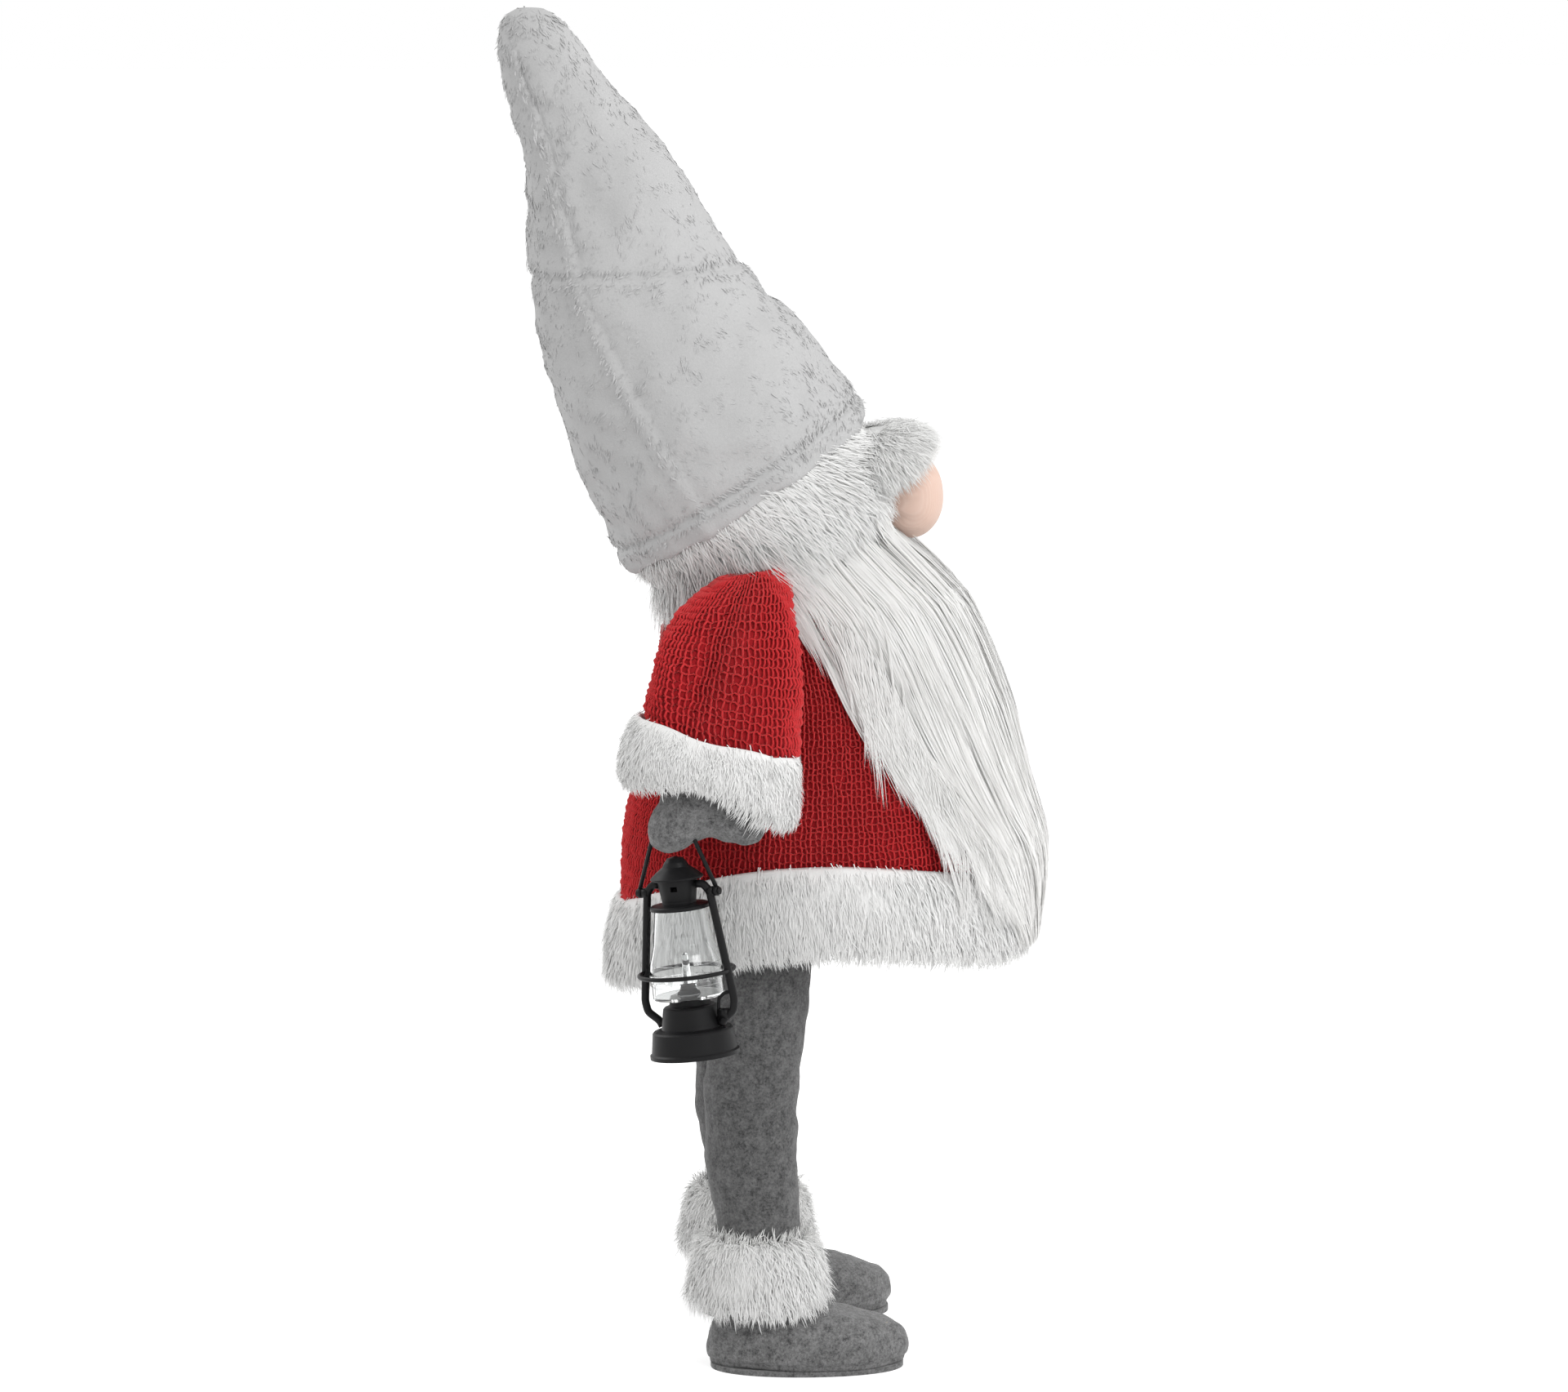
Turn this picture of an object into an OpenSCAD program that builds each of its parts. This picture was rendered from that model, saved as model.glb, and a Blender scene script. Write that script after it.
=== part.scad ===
// Standing plush gnome with a toy storm lantern.
// It faces -Y, stands on z = 0, and its right side is at -X.
// Everything is in millimetres.

/* [Legs] */
// Distance from the middle of the figure to the middle of a leg
leg_x = 67; // [60:1:76]
// Outside diameter of the steel leg tube
tube_d = 16; // [12:1:20]
// Wall of the steel leg tube
tube_wall = 1; // [0.8:0.1:1.5]
// Length of a shoe sole
sole_length = 118; // [106:1:120]
// Width of a shoe sole
sole_width = 64; // [56:1:68]
// Thickness of the felt sole
sole_t = 3; // [2:0.5:4]

/* [Cloth] */
// Thickness of the felt
felt_t = 2; // [1.5:0.5:3]
// Thickness of the plush of the hat
plush_t = 4; // [3:0.5:6]
// Thickness of the knitted cloth
knit_t = 3; // [2:0.5:4]
// Thickness of the fur trim
fur_t = 9; // [6:0.5:10]

/* [Lantern] */
// Radius of the foot of the lantern
tank_r = 26.7; // [26:0.1:28]
// Radius of the guard ring round the globe
guard_r = 28.2; // [27.8:0.1:29]
// Radius of the wire of the bail
bail_wire_r = 1.3; // [1:0.1:1.4]
// How far the lantern leans along its bail, in degrees
lantern_lean = 6.5; // [0:0.5:8]

/* [Hidden] */
$fn = 48;

sides = 28;
gap = 0.4;

// Cross-sections are [x, y, z, half width, half depth, slope]: an oval about a point.
// A positive slope lowers the back and lifts the front.
function oval(s, grow = 0, n = sides) = [
    for (i = [0:n - 1])
        let (a = 360 * i / n, px = (s[3] + grow) * cos(a), py = (s[4] + grow) * sin(a))
            [s[0] + px, s[1] + py * cos(s[5]), s[2] - py * sin(s[5])]
];
function ovals(list, grow = 0) = [for (s = list) oval(s, grow)];
function reversed(list) = [for (i = [len(list) - 1:-1:0]) list[i]];
function flat(lists) = [for (l = lists) for (p = l) p];
function middle(loop) = [for (k = [0:2]) let (v = [for (p = loop) p[k]]) sum(v) / len(v)];
function sum(v, i = 0) = i >= len(v) ? 0 : v[i] + sum(v, i + 1);

// A section between two others of a list, found by height.
function between(a, b, t) = [for (k = [0:5]) a[k] + (b[k] - a[k]) * t];
function section_at(list, z, i = 0) =
    (i >= len(list) - 2 || z <= list[i + 1][2])
        ? between(list[i], list[i + 1], (z - list[i][2]) / (list[i + 1][2] - list[i][2]))
        : section_at(list, z, i + 1);

// Joins loops of equal length, from the first to the last, into one closed solid.
// With ring true the last loop joins the first, otherwise both ends are closed.
module skin(loops, ring = false, turned = false) {
    n = len(loops[0]);
    m = len(loops);
    points = concat(flat(loops), [middle(loops[0]), middle(loops[m - 1])]);
    walls = [
        for (j = [0:(ring ? m - 1 : m - 2)])
            for (i = [0:n - 1])
                let (
                    a = j * n + i, b = j * n + (i + 1) % n,
                    c = ((j + 1) % m) * n + i, d = ((j + 1) % m) * n + (i + 1) % n
                )
                    each [[a, c, d], [a, d, b]]
    ];
    ends = ring ? [] : [
        for (i = [0:n - 1])
            each [[m * n, i, (i + 1) % n], [m * n + 1, (m - 1) * n + (i + 1) % n, (m - 1) * n + i]]
    ];
    faces = concat(walls, ends);
    polyhedron(points, turned ? [for (f = faces) [f[2], f[1], f[0]]] : faces, convexity = 8);
}

// A tube of cloth: the outside of the sections, and the inside thinner by t.
module cloth_tube(list, t) {
    skin(concat(ovals(list), reversed(ovals(list, -t))), ring = true);
}

// A cloth bag that is open at its first section and closed at its last.
module cloth_bag(list, t) {
    inner = [for (i = [0:len(list) - 2]) list[i]];
    skin(concat(reversed(ovals(inner, -t)), ovals(list)));
}

module rod(a, b, r) {
    d = b - a;
    translate(a)
        rotate([0, acos(d[2] / norm(d)), atan2(d[1], d[0])])
            cylinder(h = norm(d), r = r);
}

module rod_path(points, r) {
    for (i = [0:len(points) - 2]) rod(points[i], points[i + 1], r);
    for (i = [1:len(points) - 2]) translate(points[i]) sphere(r = 1.08 * r);
}

module mirrored(side) {
    if (side > 0) mirror([1, 0, 0]) children();
    else children();
}

// ---- Shoes -------------------------------------------------------------------
sole_back = 45;
sole_mid_y = sole_back - sole_length / 2;
shoe_sections = [
    // x, y, z, half width, half depth, slope
    [-leg_x, sole_mid_y, sole_t + gap, sole_width / 2 - 1, sole_length / 2 - 1, 0],
    [-leg_x, sole_mid_y, 9, sole_width / 2 + 1, sole_length / 2 + 1.5, 0],
    [-leg_x, sole_mid_y, 18, sole_width / 2 + 1, sole_length / 2 + 1.5, 0],
    [-leg_x, sole_mid_y + 2, 27, sole_width / 2 - 1.5, sole_length / 2 - 3, -1],
    [-leg_x, sole_mid_y + 8, 34, sole_width / 2 - 5, sole_length / 2 - 13, -2],
    [-leg_x, 14, 39, 25, 33, -3],
    [-leg_x, 15, 42, 22, 28, 0]
];

function sole_outline() = [
    for (i = [0:71])
        let (a = 5 * i, c = cos(a), s = sin(a), toe = s < 0 ? 1 + 0.06 * s * s : 1)
            [
                -leg_x + (sole_width / 2) * toe * sign(c) * pow(abs(c), 0.85),
                sole_mid_y + (sole_length / 2) * s
            ]
];

module outsole() {
    color([0.15, 0.15, 0.15]) linear_extrude(height = sole_t) polygon(sole_outline());
}

module shoe_upper() {
    color([0.15, 0.15, 0.15]) cloth_tube(shoe_sections, felt_t);
}

module ballast_bag() {
    bag = [for (i = [0:3]) let (s = shoe_sections[i]) [s[0], s[1], s[2] + 1, s[3], s[4], s[5]]];
    color([0.76, 0.70, 0.58])
        difference() {
            skin(ovals(bag, -felt_t - 2));
            translate([-leg_x, 15, 3]) cylinder(h = 40, r = tube_d / 2 + 6);
        }
}

// Plastic socket that stands on the sole and holds the leg tube.
socket_base_t = 3;
module foot_socket() {
    color([0.12, 0.12, 0.13])
        translate([-leg_x, 15, sole_t + gap])
            difference() {
                union() {
                    cylinder(h = socket_base_t, r = tube_d / 2 + 5);
                    cylinder(h = 24, r = tube_d / 2 + 2.5);
                }
                translate([0, 0, socket_base_t]) cylinder(h = 30, r = tube_d / 2);
            }
}

// ---- Legs --------------------------------------------------------------------
leg_top = 270.6;
leg_sections = [
    [-leg_x, 15, 43, 22, 25, 0],
    [-leg_x, 16, 88, 24, 26, 0],
    [-leg_x, 20, 139, 25, 28, 0],
    [-leg_x, 18, 190, 26.5, 29, 0],
    [-leg_x, 14, 240, 28, 30, 0],
    [-leg_x, 13, leg_top, 28, 30, 0]
];
tube_bottom = sole_t + gap + socket_base_t + 0.2;
tube_top = 298;

module leg_tube() {
    color("silver")
        translate([-leg_x, 15, tube_bottom])
            difference() {
                cylinder(h = tube_top - tube_bottom, r = tube_d / 2);
                translate([0, 0, -1]) cylinder(h = tube_top, r = tube_d / 2 - tube_wall);
            }
}

module leg_padding() {
    hole = [for (s = leg_sections) [s[0], 15, s[2], tube_d / 2 + 0.8, tube_d / 2 + 0.8, 0]];
    color("white") skin(concat(ovals(leg_sections, -felt_t - gap), reversed(ovals(hole))), ring = true);
}

module trouser_leg() {
    color([0.10, 0.10, 0.10]) cloth_tube(leg_sections, felt_t);
}

module ankle_cuff() {
    cuff = [
        // the ring's outer face from below, its top edge, then its inner face
        [-leg_x, 16, 43, 34, 37, -1], [-leg_x, 16, 50, 37, 39, -1], [-leg_x, 16, 64, 36, 38, -1],
        [-leg_x, 16, 76, 32, 35, -1], [-leg_x, 16, 80, 28, 31, -1],
        [-leg_x, 16, 78, 25, 28, -1], [-leg_x, 16, 60, 24.5, 27.5, -1], [-leg_x, 16, 44, 24, 27, -1]
    ];
    color("white") skin(ovals(cuff), ring = true);
}

// ---- Body --------------------------------------------------------------------
coat_sections = [
    [0, -23.5, 272, 107, 121.5, 0],
    [0, -23.5, 290, 105, 120.5, 0],
    [0, -22.5, 324, 99, 117, 0],
    [0, -23, 364, 90.5, 108, 0],
    [0, -23, 405, 82, 98, 0],
    [0, -17, 441, 74, 88, 0],
    [0, -11, 466, 70, 76, 6],
    [0, -3, 484, 62, 66, 14]
];

// The hem hangs lowest at the back and is drawn up over the hips.
function hem_lift(a) = let (front = -sin(a)) -(26 - 9 * front) * front * front;
function lifted(loop, share = 1) =
    let (n = len(loop)) [for (i = [0:n - 1]) loop[i] + [0, 0, share * hem_lift(360 * i / n)]];
function coat_loops(grow) = [
    for (i = [0:len(coat_sections) - 1])
        lifted(oval(coat_sections[i], grow), i == 0 ? 1 : (i == 1 ? 0.5 : 0))
];

module coat() {
    color([0.64, 0.14, 0.16])
        skin(concat(coat_loops(0), reversed(coat_loops(-knit_t))), ring = true);
}

hem_sections = [
    [0, -23.5, 266, 109.5, 122.5, 0],
    [0, -23.5, 263, 113, 126, 0],
    [0, -23.5, 268, 117.5, 130.5, 0],
    [0, -23.5, 292, 116, 129.5, 0],
    [0, -23.5, 312, 110, 124.5, 0],
    [0, -23, 318, 105, 120, 0],
    [0, -23, 318, 103, 118.6, 0],
    [0, -23.5, 290, 108.6, 121.8, 0]
];
hem_sides = 48;

module coat_hem() {
    color("white")
        difference() {
            skin([for (s = hem_sections) lifted(oval(s, 0, hem_sides))], ring = true, turned = true);
            skin(coat_loops(gap));
        }
}

// Felt panel that closes the body from below; the legs are sewn to it.
panel_z = 271;
module base_panel() {
    color([0.10, 0.10, 0.10])
        difference() {
            translate([0, -23, panel_z]) scale([1, 1.13, 1]) cylinder(h = felt_t, r = 99, $fn = 96);
            for (x = [-leg_x, leg_x])
                translate([x, 15, panel_z - 1]) cylinder(h = felt_t + 2, r = tube_d / 2 + 0.5);
        }
}

body_floor = 273.4;
module body_filling() {
    body = concat(
        [[0, -23, body_floor, 98, 111, 0], [0, -23.5, 280, 101, 115, 0]],
        [for (i = [2:len(coat_sections) - 1]) coat_sections[i]]
    );
    grown = [for (i = [0:len(body) - 1]) oval(body[i], i < 2 ? 0 : -knit_t - gap)];
    color("ivory")
        difference() {
            skin(grown);
            translate([0, -10, body_floor - 1]) cylinder(h = board_t + 1.5, r = board_r + 0.5);
            for (x = [-leg_x, leg_x])
                translate([x, 15, body_floor - 1]) cylinder(h = tube_top - body_floor + 2, r = 23);
        }
}

// Plywood disc in the bottom of the body that carries both hip sockets.
board_z = panel_z + felt_t + gap;
board_t = 6;
board_r = 88;
module seat_board() {
    color("burlywood")
        translate([0, -10, board_z])
            difference() {
                cylinder(h = board_t, r = board_r);
                for (x = [-leg_x, leg_x])
                    translate([x, 25, -1]) cylinder(h = board_t + 2, r = tube_d / 2 + 0.3);
            }
}

hip_flange_r = 20;
hip_flange_t = 3;
screw_pcr = 14.5;
module hip_socket(side) {
    color([0.12, 0.12, 0.13])
        translate([side * leg_x, 15, board_z + board_t + 0.1])
            difference() {
                union() {
                    cylinder(h = hip_flange_t, r = hip_flange_r);
                    cylinder(h = 18, r = tube_d / 2 + 2.5);
                }
                translate([0, 0, -1]) cylinder(h = 30, r = tube_d / 2);
                for (a = [90, 210, 330])
                    rotate([0, 0, a]) translate([screw_pcr, 0, -1]) cylinder(h = 8, r = 1.8);
            }
}

module hip_screws() {
    color("silver")
        for (x = [-leg_x, leg_x])
            for (a = [90, 210, 330])
                translate([x, 15, board_z + board_t + 0.1 + hip_flange_t])
                    rotate([0, 0, a])
                        translate([screw_pcr, 0, 0.05]) {
                            cylinder(h = 2, r = 3);
                            translate([0, 0, -hip_flange_t]) cylinder(h = hip_flange_t + 0.1, r = 1.6);
                        }
}

// ---- Head --------------------------------------------------------------------
brim = [0, 20, 531, 79, 85.5, 32.6];
head_sections = [
    [0, 3, 488, 63, 69, 15],
    [0, 3, 505, 69, 77, 21],
    [0, 9, 518, 72, 80, 27],
    [0, 19, 529.2, 73, 79, 32.6]
];

head_dome = [
    [0, 5, 491, 50, 58, 15],
    head_sections[1], head_sections[2], head_sections[3],
    [0, 23, 536, 70, 77, 32.6],
    [0, 30, 550, 66, 73, 32.6]
];

module head_fur() {
    color("white") cloth_tube(head_sections, fur_t);
}

module head_filling() {
    color("ivory") skin(ovals(head_dome, -fur_t - gap));
}

nose_sections = [for (a = [-80:20:80]) [0, -80, 528 + 26 * sin(a), 22 * cos(a), 21 * cos(a), 0]];
module nose() {
    color([0.87, 0.70, 0.62])
        difference() {
            skin(ovals(nose_sections));
            skin(ovals(head_sections, gap));
        }
}

module brow_fur() {
    brow_sections = [for (a = [-80:20:80]) [0, -66, 561 + 11 * sin(a), 38 * cos(a), 31 * cos(a), -14]];
    color("white")
        difference() {
            skin(ovals(brow_sections));
            skin(ovals(head_sections, gap));
            skin(ovals(head_dome, -fur_t));
            skin(ovals(nose_sections, gap));
            skin(ovals(hat_sections, gap));
        }
}

// The beard lies on the front of the coat. Each row is the height, how far it
// reaches round each side in degrees, and its thickness in the middle.
beard_rows = [
    [248, 12, 6, 131.6, 118.6], [260, 24, 10, 132, 118.9], [278, 34, 13, 131.8, 118.4],
    [296, 38, 16, 130.8, 116.6], [314, 42, 20, 128.4, 112.4], [342, 58, 19, 115.2, 97],
    [372, 68, 18, 108, 91], [404, 76, 18, 100, 83.6], [441, 78, 18, 90, 75.6],
    [467, 78, 19, 81.5, 72.4], [485, 80, 18, 78, 68], [500, 80, 16, 74.4, 73]
];
beard_steps = 20;
beard_edge_t = 3;
function beard_middle_y(z) = section_at(coat_sections, z)[1];
function beard_point(row, share, out) =
    let (
        a = row[1] * share, t = out * (beard_edge_t + (row[2] - beard_edge_t) * pow(1 - share * share, 0.8))
    )
        [(row[4] + t) * sin(a), beard_middle_y(row[0]) - (row[3] + t) * cos(a), row[0]];
function beard_loop(row) = concat(
    [for (i = [0:beard_steps]) beard_point(row, 2 * i / beard_steps - 1, 0)],
    [for (i = [beard_steps:-1:0]) beard_point(row, 2 * i / beard_steps - 1, 1)]
);

module beard() {
    color("white") skin([for (row = beard_rows) beard_loop(row)], turned = true);
}

// ---- Hat ---------------------------------------------------------------------
hat_sections = [
    brim,
    [0, 34, 561, 80, 87, 24.5],
    [0, 48, 587, 76, 83, 15.5],
    [0, 66, 622, 67, 76, 11],
    [0, 80, 650, 59, 69, 4]
];
bend_sections = [
    [0, 80.3, 650.4, 59, 69, 4],
    [0, 87, 669, 54, 64, -1],
    [0, 94, 691.6, 47, 57, -1]
];
tip_sections = [
    [0, 94.3, 692, 47, 57, -1],
    [0, 106, 727, 41, 48, 0],
    [0, 124, 762, 31.5, 36, 0],
    [0, 138, 786, 26, 29, 0],
    [0, 144, 804, 21, 24, 0],
    [0, 147, 815, 14, 16.5, 0],
    [0, 149, 821, 6, 7, 0]
];

module hat_lower() {
    color([0.76, 0.76, 0.76]) cloth_tube(hat_sections, plush_t);
}

function inside(list, first, last) = [for (i = [first:last]) oval(list[i], -plush_t - gap)];

wire_r = 1.5;
wire_points = [[0, 52, 598], [0, 87, 669], [0, 128, 762]];
module hat_wire() {
    color("silver") rod_path(wire_points, wire_r);
}
module wire_room() {
    rod_path(wire_points, wire_r + 0.3);
    translate(wire_points[0]) sphere(r = wire_r + 0.5);
    translate(wire_points[2]) sphere(r = wire_r + 0.5);
}

module hat_filling_lower() {
    color("ivory")
        difference() {
            skin(concat([oval([0, 37, 564, 66, 72, 32.6], 0)], inside(hat_sections, 2, 4)));
            wire_room();
        }
}

module hat_bend_section() {
    color([0.76, 0.76, 0.76])
        difference() {
            skin(ovals(bend_sections));
            wire_room();
        }
}

module hat_tip() {
    color([0.76, 0.76, 0.76]) cloth_bag(tip_sections, plush_t);
}

module hat_filling_tip() {
    color("ivory")
        difference() {
            skin(inside(tip_sections, 0, 5));
            wire_room();
        }
}

// ---- Arms --------------------------------------------------------------------
sleeve_sections = [
    [-124.5, 39, 393, 32, 47, -15],
    [-119.2, 39, 410, 31, 46.5, -13],
    [-107.7, 35, 440, 27, 43, -8],
    [-94.8, 30, 468, 21.5, 35, 0],
    [-84, 24, 485, 16, 25, 6],
    [-81.5, 22.5, 489.5, 13, 20, 8]
];

module sleeve() {
    color([0.64, 0.14, 0.16]) cloth_bag(sleeve_sections, knit_t);
}

// The left arm hangs further forward than the right one: a turn about its shoulder's own line.
left_arm_forward = 14;
left_shoulder = [78.5, 23, 487];
left_shoulder_line = [-0.95631, 0, -0.29234];
module left_arm() {
    translate(left_shoulder) rotate(a = left_arm_forward, v = left_shoulder_line)
        translate(-left_shoulder) mirrored(1) children();
}

arm_wire_points = [[-84, 24, 480], [-112, 37, 430], [-136, 52, 385], [-138, 58, 372]];
module arm_wire() {
    color("silver") rod_path(arm_wire_points, wire_r);
}
module arm_wire_room() {
    rod_path(arm_wire_points, wire_r + 0.3);
    translate(arm_wire_points[0]) sphere(r = wire_r + 0.5);
    translate(arm_wire_points[3]) sphere(r = wire_r + 0.5);
}

module arm_filling() {
    shoulder_end = between(sleeve_sections[3], sleeve_sections[4], 0.9);
    stuffed = concat([for (i = [1:3]) sleeve_sections[i]], [shoulder_end]);
    color("ivory")
        difference() {
            skin(concat([oval([-129, 46, 391, 18, 26, -15])], ovals(stuffed, -knit_t - gap)));
            arm_wire_room();
        }
}

module cuff() {
    cuff_sections = [
        [-133, 48.5, 365, 34, 48, -15], [-133.5, 49.5, 360, 37, 51, -15],
        [-133.5, 49, 368, 39, 54, -15], [-131, 47, 386, 39, 53, -15],
        [-127, 44, 402, 36, 51, -15], [-124, 42, 405, 33.5, 49, -15],
        [-124.5, 42, 396, 33.5, 49, -15], [-128, 44, 380, 33.5, 48.5, -15]
    ];
    color("white") skin(ovals(cuff_sections), ring = true, turned = true);
}

// The lantern's own frame: its foot at the origin, its bail in the YZ plane.
bail_turn = -30;
lantern_foot = [-150, 57.2, 212];
bail_bar_z = 131;
bail_bar_half = 13.5;
lug_z = 98;
module on_lantern() {
    translate(lantern_foot) rotate([0, 0, bail_turn]) rotate([-lantern_lean, 0, 0]) children();
}

module ball(p, r) {
    translate(p) sphere(r = r, $fn = 22);
}

// The notch in the fist in which one side of the bail swings, open below and outwards.
notch_w = 13;
notch_depth = 30;
module bail_side_room() {
    room = bail_wire_r + 0.5;
    translate([-notch_w / 2, bail_bar_half - room, bail_bar_z + room - notch_depth])
        cube([notch_w, notch_depth, notch_depth]);
}

module mitten() {
    color([0.15, 0.15, 0.15])
        difference() {
            union() {
                hull() {
                    ball([-142.3, 70.5, 350], 14);
                    ball([-139, 55, 365], 20);
                    ball([-137, 52, 374], 13);
                }
                hull() {
                    ball([-146, 27, 352.5], 10);
                    ball([-141, 44, 365], 15);
                }
            }
            arm_wire_room();
            on_lantern() {
                translate([0, 30, bail_bar_z]) rotate([90, 0, 0]) cylinder(h = 60, r = bail_wire_r + 0.1);
                bail_side_room();
                mirror([0, 1, 0]) bail_side_room();
            }
        }
}

// ---- Lantern -----------------------------------------------------------------
lantern_black = [0.035, 0.035, 0.035];

module round_part(points) {
    rotate_extrude($fn = 96) polygon(points);
}

module lantern_tank() {
    color(lantern_black)
        round_part([
            [25.2, 0], [tank_r, 0], [tank_r, 2.2], [25.6, 3.2], [24, 15], [23, 16],
            [18.3, 17], [18, 18.5], [16.3, 29], [15.3, 30], [12.6, 30.8], [12.3, 31.6],
            [11.2, 35], [3.4, 35], [3.4, 33.4], [9.8, 33.4], [10.8, 30.2], [11, 29.2],
            [14.6, 28.4], [16.4, 18.2], [16.8, 15.6], [22.2, 14.4], [24, 3.4], [25.2, 3.4]
        ]);
}

door_size = 21.6;
door_x = -9;
plate_z = 1;
plate_t = 1.8;
switch_x = 13;
module base_plate() {
    color(lantern_black)
        difference() {
            union() {
                translate([0, 0, plate_z]) cylinder(h = plate_t, r = 25.1);
                translate([door_x, 0, plate_z]) cylinder(h = 8, r = 11.9);
                translate([switch_x, 0, plate_z + 3]) cube([8, 13, 6], center = true);
            }
            translate([door_x, 0, plate_z + plate_t + 0.2]) cylinder(h = 6, r = 10.4);
            translate([door_x, 0, plate_z]) cube([door_size + 0.4, door_size + 0.4, 4.6], center = true);
            translate([switch_x, 0, plate_z + 1]) cube([4.4, 9.4, 5], center = true);
        }
}

module battery_door() {
    color(lantern_black)
        difference() {
            translate([door_x, 0, plate_z + 0.9]) cube([door_size, door_size, 1.6], center = true);
            translate([door_x - 6, 0, plate_z - 0.9])
                rotate([90, 0, 0]) cylinder(h = 12, r = 1.8, center = true);
        }
}

switch_travel = 4;
module switch_slider() {
    color([0.3, 0.3, 0.3])
        translate([switch_x, -switch_travel / 2, plate_z + 1.4]) {
            cube([4, 5, 3], center = true);
            translate([0, 0, -1.7]) cube([3, 3, 0.6], center = true);
        }
}

module coin_cell() {
    color("silver") translate([door_x, 0, 3.9]) cylinder(h = 3.2, r = 10);
}

module battery_contacts() {
    color("gold") {
        translate([door_x - 6, -2, 7.2]) cube([12, 4, 0.3]);
        translate([door_x + 10.05, -1.2, 4]) cube([0.2, 2.4, 4]);
    }
}

module led_board() {
    color([0.1, 0.35, 0.15]) translate([0, 0, 26.5]) cylinder(h = 1.2, r = 9.5);
}

module led_lamp() {
    color([0.9, 0.9, 0.85, 0.5]) {
        translate([0, 0, 27.8]) cylinder(h = 15, r = 2.9);
        translate([0, 0, 42.8]) cylinder(h = 17, r1 = 2.9, r2 = 1.9);
        translate([0, 0, 59.8]) sphere(r = 1.9);
    }
}

module burner() {
    color(lantern_black)
        round_part([[3.1, 35.1], [6.8, 35.1], [6.8, 38], [5.2, 39.2], [4.2, 42.4], [3.1, 42.4]]);
}

module globe() {
    color([0.85, 0.88, 0.9, 0.3])
        round_part([
            [7.4, 35.2], [20.8, 35.2], [21.4, 36], [21.4, 43.2], [21.9, 45.5], [22, 50],
            [21.3, 56], [19.6, 62], [18.1, 68], [17.2, 75], [15.4, 88], [14.3, 88],
            [16.1, 75], [17, 68], [18.5, 62], [20.2, 56], [20.9, 50], [20.8, 46],
            [20.2, 43.4], [20.2, 37], [7.4, 37]
        ]);
}

tube_r = 2.4;
chimney_outline = [
    [17.8, 88.2], [17.8, 90], [16.8, 90.8], [10.2, 91.6], [10.2, 93], [12.1, 105.6]
];
cage_half = [
    [0, 12.5, 102.6], [0, 17, 102.6], [0, 21, lug_z], [0, 30, 33],
    [0, 28.8, 26.5], [0, 21.4, 21], [0, 21, 17.3]
];

// One side tube, with the boss and the pin that the bail turns on.
module cage_side() {
    rod_path(cage_half, tube_r);
    translate([0, 20, lug_z]) rotate([-90, 0, 0]) cylinder(h = 3.7, r = 2.9);
    translate([0, 23, lug_z]) rotate([-90, 0, 0]) cylinder(h = 4.5, r = 1.25);
    translate([0, 27, lug_z]) rotate([-90, 0, 0]) cylinder(h = 0.9, r = 2.2);
}

module lantern_cage() {
    color(lantern_black) {
        cage_side();
        mirror([0, 1, 0]) cage_side();
        translate([0, 0, 50]) rotate_extrude($fn = 96) translate([guard_r, 0]) circle(r = 1.3);
    }
}

module chimney() {
    inner = [[10.8, 105.6], [8.9, 93], [8.9, 91.6], [13.9, 90], [13.9, 88.2]];
    color(lantern_black)
        difference() {
            round_part(concat(chimney_outline, inner));
            for (a = [0:90:270])
                rotate([0, 0, a + 15]) translate([11, 0, 101]) cube([8, 4, 3], center = true);
        }
}

module chimney_cap() {
    color(lantern_black)
        round_part([
            [0, 105.8], [15.2, 105.8], [15.7, 106.4], [15.7, 107.2], [12, 110.4], [8, 113.4],
            [6.6, 116], [4.6, 118.4], [0, 119.5]
        ]);
}

// ---- Bail --------------------------------------------------------------------
eye_y = 24.5;
eye_t = 2.2;
module bail_half() {
    rod_path(
        [[0, 0, bail_bar_z], [0, bail_bar_half, bail_bar_z], [0, eye_y + eye_t / 2, lug_z + 2.4]],
        bail_wire_r
    );
    difference() {
        translate([0, eye_y, lug_z]) rotate([-90, 0, 0]) cylinder(h = eye_t, r = 3);
        translate([0, eye_y - 1, lug_z]) rotate([-90, 0, 0]) cylinder(h = eye_t + 2, r = 1.35);
    }
}

module bail() {
    color(lantern_black) {
        bail_half();
        mirror([0, 1, 0]) bail_half();
    }
}

// ---- Assembly ----------------------------------------------------------------
mirrored(-1) outsole();  // outsole_right
mirrored(1) outsole();  // outsole_left
mirrored(-1) shoe_upper();  // shoe_upper_right
mirrored(1) shoe_upper();  // shoe_upper_left
mirrored(-1) ballast_bag();  // ballast_bag_right
mirrored(1) ballast_bag();  // ballast_bag_left
mirrored(-1) foot_socket();  // foot_socket_right
mirrored(1) foot_socket();  // foot_socket_left
mirrored(-1) leg_tube();  // leg_tube_right
mirrored(1) leg_tube();  // leg_tube_left
mirrored(-1) leg_padding();  // leg_padding_right
mirrored(1) leg_padding();  // leg_padding_left
mirrored(-1) trouser_leg();  // trouser_leg_right
mirrored(1) trouser_leg();  // trouser_leg_left
mirrored(-1) ankle_cuff();  // ankle_cuff_right
mirrored(1) ankle_cuff();  // ankle_cuff_left
base_panel();
seat_board();
hip_socket(-1);  // hip_socket_right
hip_socket(1);  // hip_socket_left
hip_screws();
body_filling();
coat();
coat_hem();
head_filling();
head_fur();
brow_fur();
nose();
beard();
hat_lower();
hat_filling_lower();
hat_bend_section();
hat_wire();
hat_tip();
hat_filling_tip();
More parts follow.
